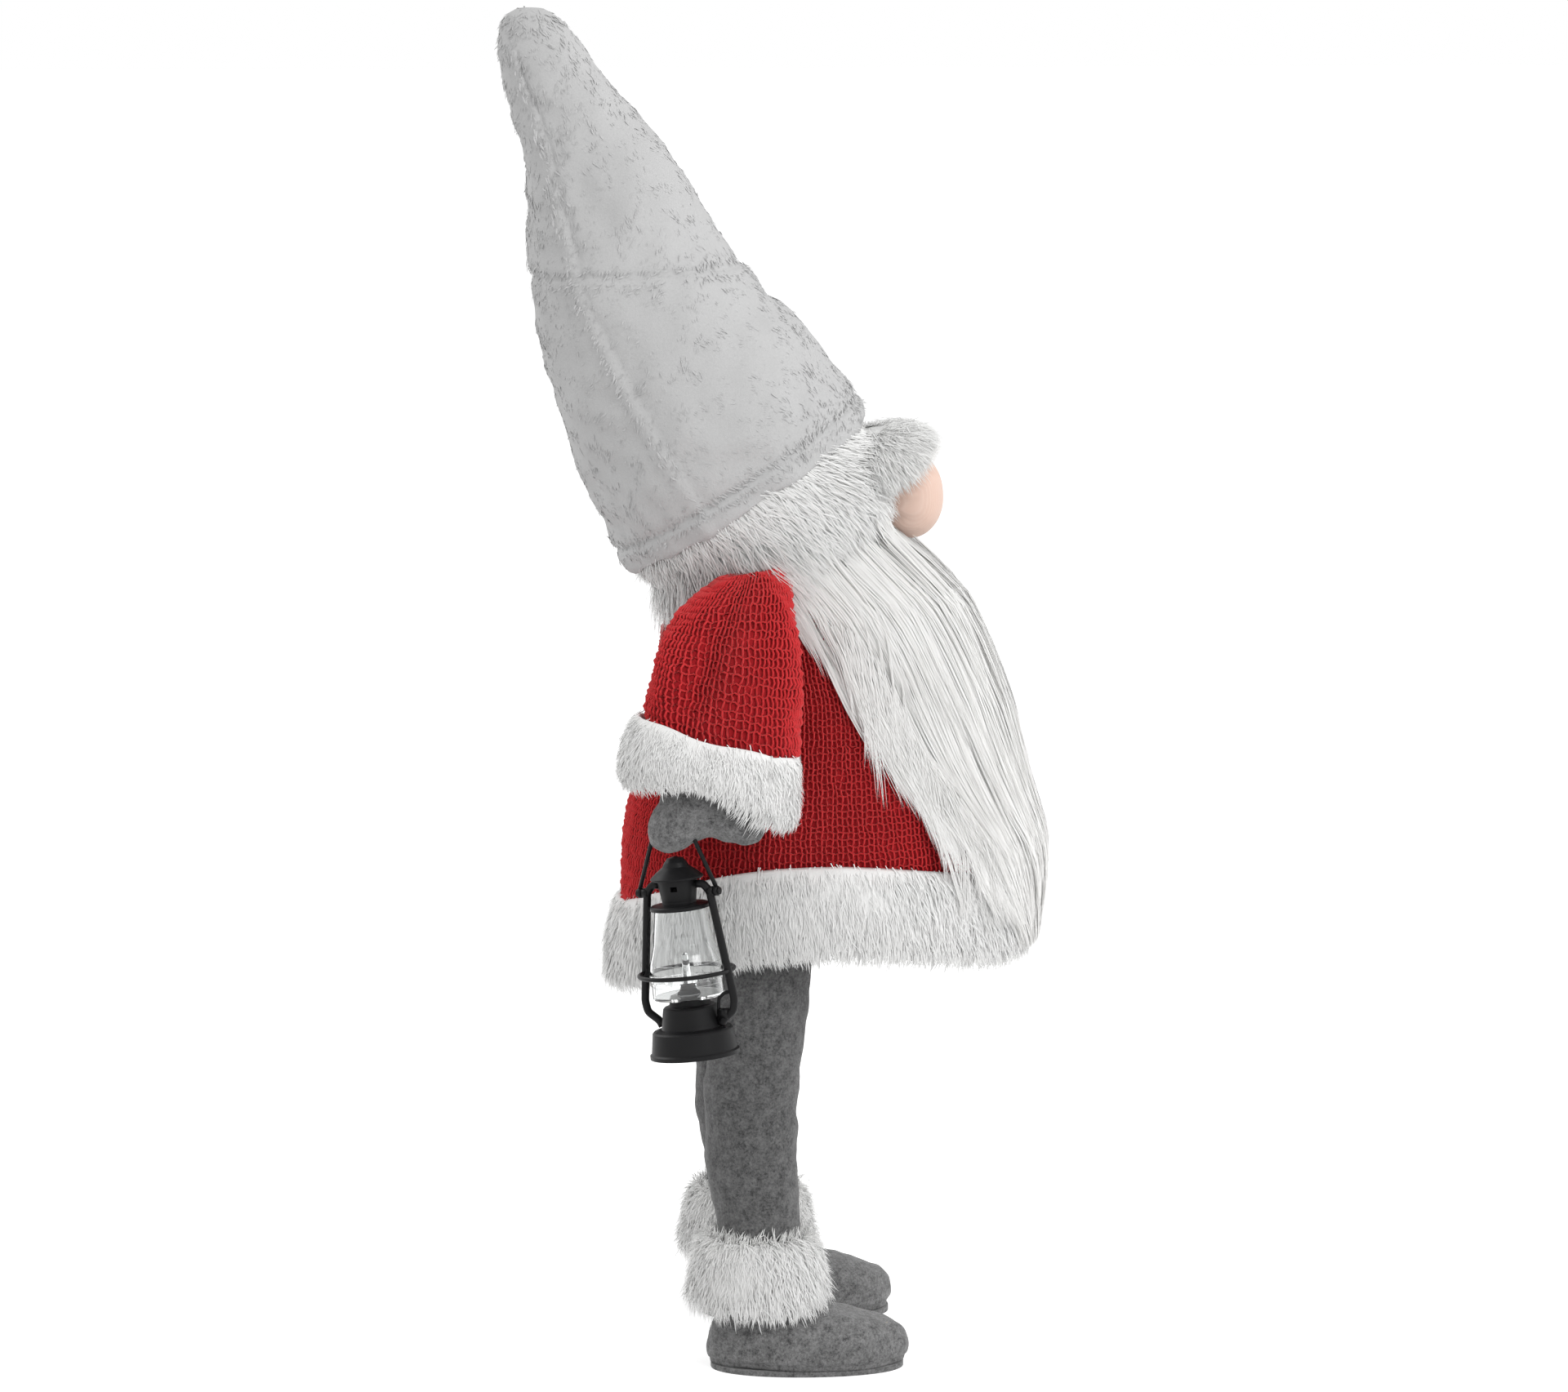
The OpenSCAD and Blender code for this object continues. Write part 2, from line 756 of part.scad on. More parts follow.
mirrored(-1) sleeve();  // sleeve_right
left_arm() sleeve();  // sleeve_left
mirrored(-1) arm_filling();  // arm_filling_right
left_arm() arm_filling();  // arm_filling_left
mirrored(-1) arm_wire();  // arm_wire_right
left_arm() arm_wire();  // arm_wire_left
mirrored(-1) cuff();  // cuff_right
left_arm() cuff();  // cuff_left
mirrored(-1) mitten();  // mitten_right
left_arm() mitten();  // mitten_left
on_lantern() bail();
on_lantern() lantern_tank();
on_lantern() base_plate();
on_lantern() battery_door();
on_lantern() switch_slider();
on_lantern() coin_cell();
on_lantern() battery_contacts();
on_lantern() led_board();
on_lantern() led_lamp();
on_lantern() burner();
on_lantern() globe();
on_lantern() lantern_cage();
on_lantern() chimney();
on_lantern() chimney_cap();
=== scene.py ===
"""Standing plush gnome with a toy storm lantern: the visible pieces round its CAD frame.

Everything is in metres in the CAD's own frame: the gnome faces -Y, +Z is up and its right
side is at -X. Ring tables are in millimetres, as they are in the CAD.
"""
import math

import bmesh
import bpy
import numpy as np
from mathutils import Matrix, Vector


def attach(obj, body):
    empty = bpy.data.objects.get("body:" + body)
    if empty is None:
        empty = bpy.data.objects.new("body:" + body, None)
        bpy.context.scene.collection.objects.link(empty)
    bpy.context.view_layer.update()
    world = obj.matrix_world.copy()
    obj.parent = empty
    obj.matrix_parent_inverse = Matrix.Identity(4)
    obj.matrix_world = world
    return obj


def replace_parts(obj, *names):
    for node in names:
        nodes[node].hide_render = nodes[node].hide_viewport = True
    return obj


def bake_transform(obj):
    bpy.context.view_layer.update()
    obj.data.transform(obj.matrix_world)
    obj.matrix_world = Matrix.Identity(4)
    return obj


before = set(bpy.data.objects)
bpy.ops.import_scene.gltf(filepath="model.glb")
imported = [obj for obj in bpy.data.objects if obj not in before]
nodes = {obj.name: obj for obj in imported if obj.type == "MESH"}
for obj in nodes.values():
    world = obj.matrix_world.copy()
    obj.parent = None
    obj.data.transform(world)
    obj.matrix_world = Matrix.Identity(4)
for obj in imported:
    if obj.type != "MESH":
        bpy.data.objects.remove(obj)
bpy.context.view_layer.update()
scene = bpy.context.scene
MM = 0.001

# ---- Camera, floor and lamps -----------------------------------------
# A long lens 3.8 m away on the gnome's right, a little above its hat, on a tripod.
# The floor is a pale sheet, and the light is one large softbox, two fills and a pale room.
camera_turn = math.radians(-93)
camera_away, camera_up, aim_up = 3.8, 1.0, 0.4035
lens_mm, sensor_mm = 144.2, 36
shift_across = 0.0036
floor_half = 14
floor_glow = 0.55
room_light = 0.68
lamps_aim = Vector((0, 0, 0.42))

camera = bpy.data.objects.new("camera", bpy.data.cameras.new("camera"))
scene.collection.objects.link(camera)
camera.location = (camera_away * math.sin(camera_turn), -camera_away * math.cos(camera_turn), camera_up)
to_aim = Vector((0, 0, aim_up)) - camera.location
camera.rotation_euler = to_aim.to_track_quat("-Z", "Y").to_euler()
camera.data.lens = lens_mm
camera.data.sensor_width = sensor_mm
camera.data.shift_x = shift_across
camera.data.clip_end = 60
scene.camera = camera
scene.view_settings.view_transform = "Standard"


class Nodes:
    """A material's or a group's node tree, with short calls for adding and joining nodes."""

    def __init__(self, tree):
        self.tree = tree

    def add(self, kind, **values):
        node = self.tree.nodes.new("ShaderNode" + kind)
        for name, value in values.items():
            setattr(node, name, value)
        return node

    def join(self, start, end):
        self.tree.links.new(start, end)

    def feed(self, socket, value):
        """Joins another node's socket to an input, or sets the input to a number or a colour."""
        if isinstance(value, bpy.types.NodeSocket):
            self.join(value, socket)
        elif isinstance(value, tuple):
            socket.default_value = (*value, 1)[:len(socket.default_value)]
        else:
            socket.default_value = value

    def fill(self, node, **values):
        """Feeds inputs by their names, with _ where a name has a space, and gives back the node."""
        for name, value in values.items():
            self.feed(node.inputs[name.replace("_", " ")], value)
        return node

    def number(self, operation, a, b, clamp=False):
        """One sum of two inputs, each a socket or a plain number."""
        node = self.add("Math", operation=operation, use_clamp=clamp)
        self.feed(node.inputs[0], a)
        self.feed(node.inputs[1], b)
        return node.outputs[0]

    def weighted(self, a, weight_a, b, weight_b, clamp=False):
        """The sum of two sockets, each times its weight."""
        first, second = self.number("MULTIPLY", a, weight_a), self.number("MULTIPLY", b, weight_b)
        return self.number("ADD", first, second, clamp)

    def scaled(self, value, factor, added):
        """A socket's value times a factor, plus a number."""
        return self.number("ADD", self.number("MULTIPLY", value, factor), added)

    def blend(self, share, a, b, kind="MIX"):
        """A colour between a and b, each a socket or a plain colour, or another mix of the two."""
        node = self.add("Mix", data_type="RGBA", blend_type=kind)
        for place, value in ((0, share), (6, a), (7, b)):
            self.feed(node.inputs[place], value)
        return node.outputs[2]

    def noise(self, scale, detail, rough, where=None):
        place = where or self.add("TexCoord").outputs["Object"]
        node = self.fill(self.add("TexNoise"), Scale=scale, Detail=detail, Roughness=rough, Vector=place)
        return node.outputs["Fac"]

    def bump(self, height, strength, distance):
        """The surface's normal, roughened by a height."""
        node = self.fill(self.add("Bump"), Strength=strength, Distance=distance, Height=height)
        return node.outputs["Normal"]


def new_material(name):
    """A material with a Principled shader, given back with its nodes."""
    material = bpy.data.materials.new(name)
    material.use_nodes = True
    return material, Nodes(material.node_tree), material.node_tree.nodes["Principled BSDF"]


def straight_rays(n):
    """1 for rays from the camera, off a gloss or through clear plastic, and 0 for the rest."""
    path = n.add("LightPath")
    seen = n.number("MAXIMUM", path.outputs["Is Camera Ray"], path.outputs["Is Glossy Ray"])
    return n.number("MAXIMUM", seen, path.outputs["Is Transmission Ray"])


sheet = bpy.data.meshes.new("floor")
square = [(-1, -1), (1, -1), (1, 1), (-1, 1)]
sheet.from_pydata([(x * floor_half, y * floor_half, 0) for x, y in square], [], [(0, 1, 2, 3)])
floor = bpy.data.objects.new("floor", sheet)
scene.collection.objects.link(floor)
floor_paper, n, shader = new_material("floor_paper")
n.fill(shader, Base_Color=(0.80, 0.80, 0.80), Roughness=1, Specular_IOR_Level=0, Emission_Color=(1, 1, 1),
       Emission_Strength=n.number("MULTIPLY", straight_rays(n), floor_glow))
sheet.materials.append(floor_paper)

world = bpy.data.worlds.new("pale_room")
world.use_nodes = True
scene.world = world
n = Nodes(world.node_tree)
n.fill(world.node_tree.nodes["Background"], Color=(1, 1, 1),
       Strength=n.scaled(straight_rays(n), 1 - room_light, room_light))


def softbox(name, place, size, watts):
    """A square lamp that points at the middle of the figure."""
    lamp = bpy.data.objects.new(name, bpy.data.lights.new(name, "AREA"))
    scene.collection.objects.link(lamp)
    lamp.location = place
    lamp.rotation_euler = (lamps_aim - lamp.location).to_track_quat("-Z", "Y").to_euler()
    lamp.data.size = size
    lamp.data.energy = watts


softbox("key", (-2.1, -1.5, 2.3), size=1.5, watts=40)
softbox("fill_front", (0.8, -2.6, 1.6), size=1.6, watts=16)
softbox("fill_back", (1.4, 2.2, 1.9), size=1.6, watts=22)

# ---- Shoes -----------------------------------------------------------
# Two felt shoes on flat soles, filled with ballast so that the figure stands. The grey felt is
# carded wool-look fibre with darker and lighter flecks, sewn inside out and turned.
def felt_flecks():
    """Group: mottled felt. Puts out a colour between Dark and Light, and a height for bump."""
    group = bpy.data.node_groups.new("felt_flecks", "ShaderNodeTree")
    face = group.interface
    for name in ("Dark", "Light"):
        face.new_socket(name, in_out="INPUT", socket_type="NodeSocketColor")
    face.new_socket("Color", in_out="OUTPUT", socket_type="NodeSocketColor")
    face.new_socket("Height", in_out="OUTPUT", socket_type="NodeSocketFloat")
    g = Nodes(group)
    given, made = group.nodes.new("NodeGroupInput"), group.nodes.new("NodeGroupOutput")
    blotch, fleck, fibre = g.noise(160, 5, 0.7), g.noise(620, 4, 0.75), g.noise(2400, 2, 0.6)
    mixed = g.number("SUBTRACT", g.weighted(blotch, 0.9, fleck, 1.1), 0.74)
    share = g.number("MULTIPLY", mixed, 2.1, clamp=True)
    grain = g.number("MULTIPLY", g.number("SUBTRACT", fibre, 0.5), 0.7)
    share = g.number("ADD", share, grain, clamp=True)
    g.join(g.blend(share, given.outputs["Dark"], given.outputs["Light"]), made.inputs["Color"])
    g.join(g.weighted(fleck, 0.6, fibre, 0.4), made.inputs["Height"])
    return group


FELT = felt_flecks()


def felt_material(name, dark, light, bump=0.35):
    material, n, shader = new_material(name)
    flecks = n.fill(n.add("Group", node_tree=FELT), Dark=dark, Light=light)
    n.fill(shader, Base_Color=flecks.outputs["Color"], Roughness=0.95, Specular_IOR_Level=0.15,
           Sheen_Weight=0.25, Sheen_Roughness=0.6, Normal=n.bump(flecks.outputs["Height"], bump, 0.0012))
    return material


def unit(vectors):
    return vectors / np.maximum(np.linalg.norm(vectors, axis=-1, keepdims=True), 1e-9)


def ring_skin(rows, loop=False, lift=None, side=-1):
    """A smooth skin through oval rings, each [x, y, z, half width, half depth, slope, share].

    v runs from 0 to 1 over the rings in step with their distance, and between rings their
    values follow a Catmull-Rom curve. At u a ring's point is its middle plus the half width
    times cos(2 pi u) along x and the half depth times sin(2 pi u) along y. The slope, in
    degrees, lowers the back and lifts the front, and lift(u) times the share raises the point.
    With loop the last ring joins the first, as on a tube bent into a hoop. The rows give a
    right-hand piece, and with side = 1 its mirror image for the left.
    """
    rows = np.array([[*row, 0][:7] for row in rows], float)
    rows[:, :5] *= MM
    rows[:, 0] *= -side
    rows[:, 5] = np.radians(rows[:, 5])
    count = len(rows)
    turned = np.concatenate([rows, rows[:1]]) if loop else rows
    apart = np.linalg.norm(np.diff(turned[:, [0, 2, 4]], axis=0), axis=1)
    knots = np.concatenate([[0], np.cumsum(apart)]) / apart.sum()

    def surface(u, v, out=0.0):
        v = v % 1.0 if loop else np.clip(v, 0, 1)
        t = np.interp(v, knots, np.arange(len(knots)))
        i = np.minimum(t.astype(int), len(knots) - 2)
        f = (t - i)[..., None]
        wrap = (lambda k: k % count) if loop else (lambda k: np.clip(k, 0, count - 1))
        a, b, c, d = (rows[wrap(i + k)] for k in (-1, 0, 1, 2))
        ring = 0.5 * (2 * b + (c - a) * f + (2 * a - 5 * b + 4 * c - d) * f**2
                      + (3 * b - a - 3 * c + d) * f**3)
        x, y, z, wide, deep, slope, share = np.moveaxis(ring, -1, 0)
        across = (deep + out) * np.sin(2 * np.pi * u)
        along = (wide + out) * np.cos(2 * np.pi * u)
        raised = 0 if lift is None else share * lift(u)
        return np.stack([x + along, y + across * np.cos(slope), z + raised - across * np.sin(slope)], -1)

    return surface


def round_and_out(surface, u, v):
    """Unit steps along u, and the unit normal, which is their cross product with a step along v."""
    step = 2e-3
    along = unit(surface(u + step, v) - surface(u - step, v))
    return along, unit(np.cross(along, surface(u, v + step) - surface(u, v - step)))


def lumps(points, size, seed, waves=20):
    """Soft unevenness from about -1 to 1: the sum of waves that run in random directions."""
    rng = np.random.default_rng(seed)
    heading = rng.normal(size=(3, waves))
    heading *= 2 * np.pi / size / np.linalg.norm(heading, axis=0) * rng.uniform(0.6, 1.4, waves)
    return np.sin(points @ heading + rng.uniform(0, 6.28, waves)).sum(-1) / math.sqrt(waves / 2) / 2


def piece(name, points, faces, material, body, slot, uv=None):
    """Makes a mesh from points and arrays of face corners, and lets it ride on a CAD body."""
    mesh = bpy.data.meshes.new(name)
    corners = np.concatenate([f.ravel() for f in faces]).astype(np.int32)
    sizes = np.concatenate([np.full(len(f), f.shape[1]) for f in faces]).astype(np.int32)
    points = np.asarray(points, np.float32).reshape(-1, 3)
    mesh.vertices.add(len(points))
    mesh.vertices.foreach_set("co", points.ravel())
    mesh.loops.add(len(corners))
    mesh.loops.foreach_set("vertex_index", corners)
    mesh.polygons.add(len(sizes))
    mesh.polygons.foreach_set("loop_start", np.cumsum(sizes) - sizes)
    mesh.polygons.foreach_set("use_smooth", np.ones(len(sizes), bool))
    if uv is not None:
        flat = np.asarray(uv, np.float32).reshape(-1, 2)[corners]
        for layer in ("strand", "OFBake"):
            mesh.uv_layers.new(name=layer).data.foreach_set("uv", flat.ravel())
    mesh.update(calc_edges=True)
    made = bpy.data.objects.new(name, mesh)
    scene.collection.objects.link(made)
    mesh.materials.append(material)
    if body is not None:
        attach(made, body)
    return made


def grid_faces(rows, columns, loop=False):
    """Corner numbers of a grid's quads. It closes round its columns, and with loop over its rows."""
    i = np.arange(columns)
    j = np.arange(rows if loop else rows - 1)[:, None]
    here, above = j * columns, (j + 1) % rows * columns
    nexts = (i + 1) % columns
    return np.stack([here + i, here + nexts, above + nexts, above + i], -1).reshape(-1, 4)


def skin_mesh(surface, rows, columns, shape=None, loop=False):
    """Points and faces of a whole skin. shape(u, v, points, normals) may move the points first.

    An open skin is closed by a fan to a middle point at its first and its last ring.
    """
    u, v = np.meshgrid(np.arange(columns) / columns, np.linspace(0, 1, rows, endpoint=not loop))
    points = surface(u, v)
    if shape is not None:
        points = shape(u, v, points, round_and_out(surface, u, v)[1])
    if loop:
        return points.reshape(-1, 3), [grid_faces(rows, columns, True)]
    i = np.arange(columns)
    count, top = rows * columns, (rows - 1) * columns
    low = np.stack([np.full(columns, count), (i + 1) % columns, i], -1)
    high = np.stack([np.full(columns, count + 1), top + i, top + (i + 1) % columns], -1)
    middles = points[[0, -1]].mean(axis=1)
    return np.concatenate([points.reshape(-1, 3), middles]), [grid_faces(rows, columns), low, high]


def lumpy(points, *waves):
    """How far soft lumps lift each point; the lumps are given as (height, size, seed)."""
    return sum(height * lumps(points, size, seed) for height, size, seed in waves)[..., None]


def dent(distance, width):
    """A soft bell: 1 on a line and falling off on both sides over its width."""
    return np.exp(-((distance / width) ** 2))


SIDES = {"right": -1, "left": 1}
shoe_rows = [
    [-67, -14, 3.2, 31, 58, 0],
    [-67, -14, 8, 33.5, 60.5, 0],
    [-67, -14, 17, 33.5, 60.5, 0],
    [-67, -12.5, 26, 31.5, 56.5, -1],
    [-67, -6, 34, 28.5, 47, -3],
    [-67, 8, 40, 26, 36, -3],
    [-67, 15, 43, 24, 28, 0],
]
shoe_felt = felt_material("shoe_felt", (0.05, 0.05, 0.051), (0.27, 0.27, 0.27))
for name, side in SIDES.items():

    def worn(u, v, points, normals, side=side):
        """Soft hand-stuffed unevenness, a seam round the sole and a slightly broader toe."""
        seam = 0.0009 * dent(points[..., 2:] - 0.0062, 0.0011)
        toe = np.clip((-points[..., 1] - 0.01) / 0.06, 0, 1)
        moved = points + normals * (lumpy(points, (0.0011, 0.045, 11), (0.00045, 0.012, 12)) - seam)
        middle = side * 0.067
        broader = 0.96 + 0.05 * np.sin(np.pi * toe) + 0.04 * toe
        moved[..., 0] = middle + (moved[..., 0] - middle) * broader
        moved[..., 2] = np.maximum(moved[..., 2], 0.0031)
        return moved

    shoe = piece(f"shoe_{name}", *skin_mesh(ring_skin(shoe_rows, side=side), 60, 150, worn),
                 shoe_felt, "figure", "shoe_felt")
    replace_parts(shoe, f"shoe_upper_{name}")


def refinish(node, material):
    """Gives a CAD piece its finish in place of its plain one."""
    nodes[node].data.materials.clear()
    nodes[node].data.materials.append(material)


for name in SIDES:
    refinish(f"outsole_{name}", shoe_felt)

# ---- Trouser legs ----------------------------------------------------
# Straight tubes of the same flecked felt in a darker grey, sewn up the inside and stuffed round
# a steel tube. They go down into the ankle cuffs and up under the skirt to the seat board.
leg_rows = [
    [-67, 15, 43, 22, 25, 0],
    [-67, 16, 88, 24, 26, 0],
    [-67, 20, 139, 25, 28, 0],
    [-67, 18, 190, 26.5, 29, 0],
    [-67, 14, 240, 28, 30, 0],
    [-67, 13, 270, 28, 30, 0],
]
leg_felt = felt_material("leg_felt", (0.026, 0.026, 0.027), (0.17, 0.17, 0.17), 0.45)


def past(u, seam):
    """The way round from a seam to u, from -0.5 to 0.5 of a turn."""
    return (u - seam + 0.5) % 1 - 0.5


for name, side in SIDES.items():

    def stuffed(u, v, points, normals, side=side):
        """Shallow folds across the tube, which fade out to its ends, and a sunken inside seam."""
        folds = 0.0016 * lumps(points * (1, 1, 2.2), 0.07, 21 + side) + 0.0005 * lumps(points, 0.012, 24)
        seam = 0.0012 * dent(past(u, 0 if side < 0 else 0.5), 0.008)
        return points + normals * (folds * np.sin(np.pi * np.clip(v, 0.03, 1)) - seam)[..., None]

    leg = piece(f"trouser_{name}", *skin_mesh(ring_skin(leg_rows, side=side), 110, 96, stuffed),
                leg_felt, "figure", "leg_felt")
    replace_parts(leg, f"trouser_leg_{name}")

# ---- Ankle cuffs -----------------------------------------------------
# Bands of long white plush, sewn into a hoop and pulled over the joint of leg and shoe. The fur
# is modelled hair by hair on a closed white backing, as all the fur of the figure is.
def fur_material(name, root, tip, spread):
    """Hair that goes from a darker root colour, painted shade deep in the fur, to a tip colour, each hair
    a little lighter or darker.
    """
    material, n, shader = new_material(name)
    strand = n.add("UVMap", uv_map="strand")
    parts = n.add("SeparateXYZ")
    n.join(strand.outputs["UV"], parts.inputs[0])
    # The darker root colour is painted shade: each hair darkens towards the skin, where the fur shades
    # itself.
    share = n.number("POWER", parts.outputs["Y"], 0.6, clamp=True)
    tone = n.scaled(parts.outputs["X"], spread, 1 - spread)
    grey = n.add("CombineXYZ")
    for socket in grey.inputs:
        n.join(tone, socket)
    shaded = n.blend(1, n.blend(share, root, tip), grey.outputs[0], "MULTIPLY")
    n.fill(shader, Base_Color=shaded, Roughness=0.6, Specular_IOR_Level=0.2)
    return material


def backing_material(name, colour, scale, bump=0.5):
    """Short dense pile under the hairs: one colour with a fine streaky unevenness."""
    material, n, shader = new_material(name)
    grain = n.noise(scale, 4, 0.7)
    dark = tuple(0.82 * part for part in colour)
    n.fill(shader, Base_Color=n.blend(grain, dark, colour), Roughness=1, Specular_IOR_Level=0.1,
           Normal=n.bump(grain, bump, 0.0015))
    return material


def ribbons(name, paths, out, turn, width, tone, material, body, slot):
    """Hairs as flat ribbons: the same number of points along each path, and a pointed end.

    A ribbon's half width falls as 1 - t^3 from root to tip, and it lies across its path and the
    facing direction, which is the skin's outward normal plus the hair's own turn. It takes its
    shading from that direction too, so that a coat of fur is lit as one soft surface. The map's
    first value is the hair's tone, its second is t.
    """
    facing = unit(out + turn)
    count, steps = paths.shape[:2]
    t = np.linspace(0, 1, steps)
    across = unit(np.cross(paths[:, -1] - paths[:, 0], facing))[:, None]
    half = 0.5 * width * (1 - t[:-1] ** 3)[None, :, None] * across
    sides = np.stack([paths[:, :-1] - half, paths[:, :-1] + half], 2).reshape(count, -1, 3)
    points = np.concatenate([sides, paths[:, -1:]], 1)
    each = 2 * steps - 1
    flat = np.empty((count, each, 2))
    flat[..., 0] = tone[:, None]
    flat[..., 1] = np.append(np.repeat(t[:-1], 2), 1)
    k = 2 * np.arange(steps - 2)
    quad = np.stack([k, k + 1, k + 3, k + 2], -1)
    last = np.array([[each - 3, each - 2, each - 1]])
    base = each * np.arange(count)[:, None, None]
    faces = [(base + quad).reshape(-1, 4), (base + last).reshape(-1, 3)]
    made = piece(name, points, faces, material, body, slot, flat)
    lit = np.repeat(unit(out + 0.6 * turn), each, 0)
    made.data.normals_split_custom_set_from_vertices(lit.tolist())
    return made


golden_step = 0.6180339887


def scatter(count, low, high, taper=0.0):
    """Evenly spread places: u steps by the golden ratio and v rises, thinning out by taper."""
    k = np.arange(count)
    s = (k + 0.5) / count
    if taper:
        s = (1 - np.sqrt(1 - s * (1 - (1 - taper) ** 2))) / taper
    return k * golden_step % 1, low + (high - low) * s


def fur(name, surface, u, v, length, comb, tips, material, body, hairs=6, spread=0.003, clump=0.5,
        ruffle=0.25, width=0.0006, steps=4, seed=3, drift=(0, 0, 0), lean=0.0, slot="white_fur"):
    """One piece of fur: a lock of hairs at each (u, v) on a skin.

    A hair's point at t, from 0 at its root to 1 at its tip, is
    root + length (start (t - t^2 / 2) + end t^2 / 2). start and end are directions, which comb
    and tips give as shares of outwards, down the skin and round it, and drift is added to end.
    ruffle turns each lock and, half as much, each hair. clump t^1.5 draws a hair to its lock.
    The hairs' flat sides face the normal plus lean, which hairs that stand off the skin need.
    """
    rng = np.random.default_rng(seed)
    count = len(u)
    along, out = round_and_out(surface, u, v)
    axes = np.stack([out, np.cross(along, out), along], 1)
    turn = rng.normal(0, ruffle, (count, 1, 3)) + rng.normal(0, ruffle / 2, (count, hairs, 3))

    def aim(shares, added):
        given = np.stack([share + 0 * u for share in shares], -1)[:, None] + turn
        return unit(np.einsum("lhk,lkx->lhx", given, axes) + np.asarray(added, float))[:, :, None]

    size = (length + 0 * u)[:, None] * rng.uniform(0.8, 1.15, (count, 1))
    size = size * rng.uniform(0.75, 1.1, (count, hairs))
    away = rng.normal(0, spread, (count, hairs, 2))
    roots = surface(u, v)[:, None] - 0.0006 * out[:, None]
    roots = roots + away[..., :1] * axes[:, None, 1] + away[..., 1:] * axes[:, None, 2]
    t = np.linspace(0, 1, steps)[:, None]
    paths = roots[:, :, None] + size[..., None, None] * (
        aim(comb, (0, 0, 0)) * (t - t * t / 2) + aim(tips, drift) * t * t / 2)
    paths += (paths.mean(axis=1, keepdims=True) - paths) * clump * t**1.5
    turn = rng.normal(0, 0.16, (count * hairs, 3))
    tone = (0.5 * rng.random((count, 1)) + 0.5 * rng.random((count, hairs))).ravel()
    paths = paths.reshape(-1, steps, 3)
    faced = np.repeat(unit(out + lean), hairs, 0)
    return ribbons(name, paths, faced, turn, width, tone, material, body, slot)


# Roots a little darker than tips: painted shade deep in the fur.
white_fur = fur_material("white_fur", (0.93, 0.93, 0.92), (0.96, 0.96, 0.95), 0.06)
white_backing = backing_material("white_backing", (0.93, 0.93, 0.92), 900, 0.2)

ankle_rows = [
    [-67, 16, 47, 34, 37, -1],
    [-67, 16, 46, 37, 40, -1],
    [-67, 16, 52, 38, 41, -1],
    [-67, 16, 64, 37, 39.5, -1],
    [-67, 16, 75, 34, 37, -1],
    [-67, 16, 81, 29, 32, -1],
    [-67, 16, 79, 25, 28, -1],
    [-67, 16, 62, 25, 28, -1],
]


def plump(*waves):
    """A plush band is never even: soft rolls a finger wide, given as for lumpy."""
    return lambda u, v, points, normals: points + normals * lumpy(points, *waves)


ankle_rolls = plump((0.0014, 0.05, 31), (0.0006, 0.018, 32))
for name, side in SIDES.items():
    hoop = ring_skin(ankle_rows, loop=True, side=side)
    band = piece(f"ankle_band_{name}", *skin_mesh(hoop, 56, 110, ankle_rolls, loop=True),
                 white_backing, "figure", "white_fur")
    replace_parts(band, f"ankle_cuff_{name}")
    u, v = scatter(1900, 0.0, 0.60)
    low = np.clip(1 - v / 0.25, 0, 1)
    fur(f"ankle_fur_{name}", hoop, u, v, 0.010 + 0.009 * low, (0.5, 0.6 + 0.3 * low, 0.1),
        (0.15, 1.0, 0.1), white_fur, "figure", hairs=5, seed=40 + side, drift=(0, 0, -0.3), ruffle=0.2)

# ---- Coat ------------------------------------------------------------
# A bell of loosely knitted red yarn over a thin lining, gathered at the neck. Every stitch is
# modelled, so the lining shows through the holes of the knit, as the dark holes do on the coat.
# The lining is the yarn's own material in a darker red: painted shade in the holes.
def hem_lift(u):
    """How far the hem hangs below its own level: most at the back, less at the front."""
    front = -np.sin(2 * np.pi * u)
    return -(0.026 - 0.009 * front) * front**2


coat_rows = [
    [0, -23.5, 272, 107, 121.5, 0, 1],
    [0, -23.5, 290, 105, 120.5, 0, 0.5],
    [0, -22.5, 324, 99, 117, 0],
    [0, -23, 364, 90.5, 108, 0],
    [0, -23, 405, 82, 98, 0],
    [0, -17, 441, 74, 88, 0],
    [0, -11, 466, 70, 76, 6],
    [0, -3, 484, 62, 66, 14],
]
coat_skin = ring_skin(coat_rows, lift=hem_lift)


def draped_coat(u, v, out=0.0):
    """The coat's skin with folds that hang from the neck and are deepest at the hem."""
    waves = 0.55 * np.sin(2 * np.pi * 6 * u + 1.3) + 0.45 * np.sin(2 * np.pi * 11 * u + 0.4 + 2 * v)
    return coat_skin(u, v, out + 0.0011 * (1 - v) * waves)


def yarn_material(name, dark, light):
    """Soft spun yarn: fine hairs across it and slightly darker plies."""
    material, n, shader = new_material(name)
    ply = n.noise(1500, 3, 0.6)
    patch = n.noise(45, 2, 0.5)
    share = n.weighted(ply, 0.75, patch, 0.35, clamp=True)
    n.fill(shader, Base_Color=n.blend(share, dark, light), Roughness=0.9, Specular_IOR_Level=0.15,
           Sheen_Weight=0.3, Sheen_Roughness=0.5, Sheen_Tint=(1.0, 0.35, 0.33),
           Normal=n.bump(ply, 0.5, 0.0004))
    return material


red_yarn = yarn_material("red_yarn", (0.46, 0.018, 0.022), (0.76, 0.046, 0.052))
# A darker copy of the yarn: painted shade, for the lining seen through the holes of the knit.
red_lining_painted_shade = yarn_material("red_lining_painted_shade", (0.26, 0.007, 0.011), (0.40, 0.013, 0.018))


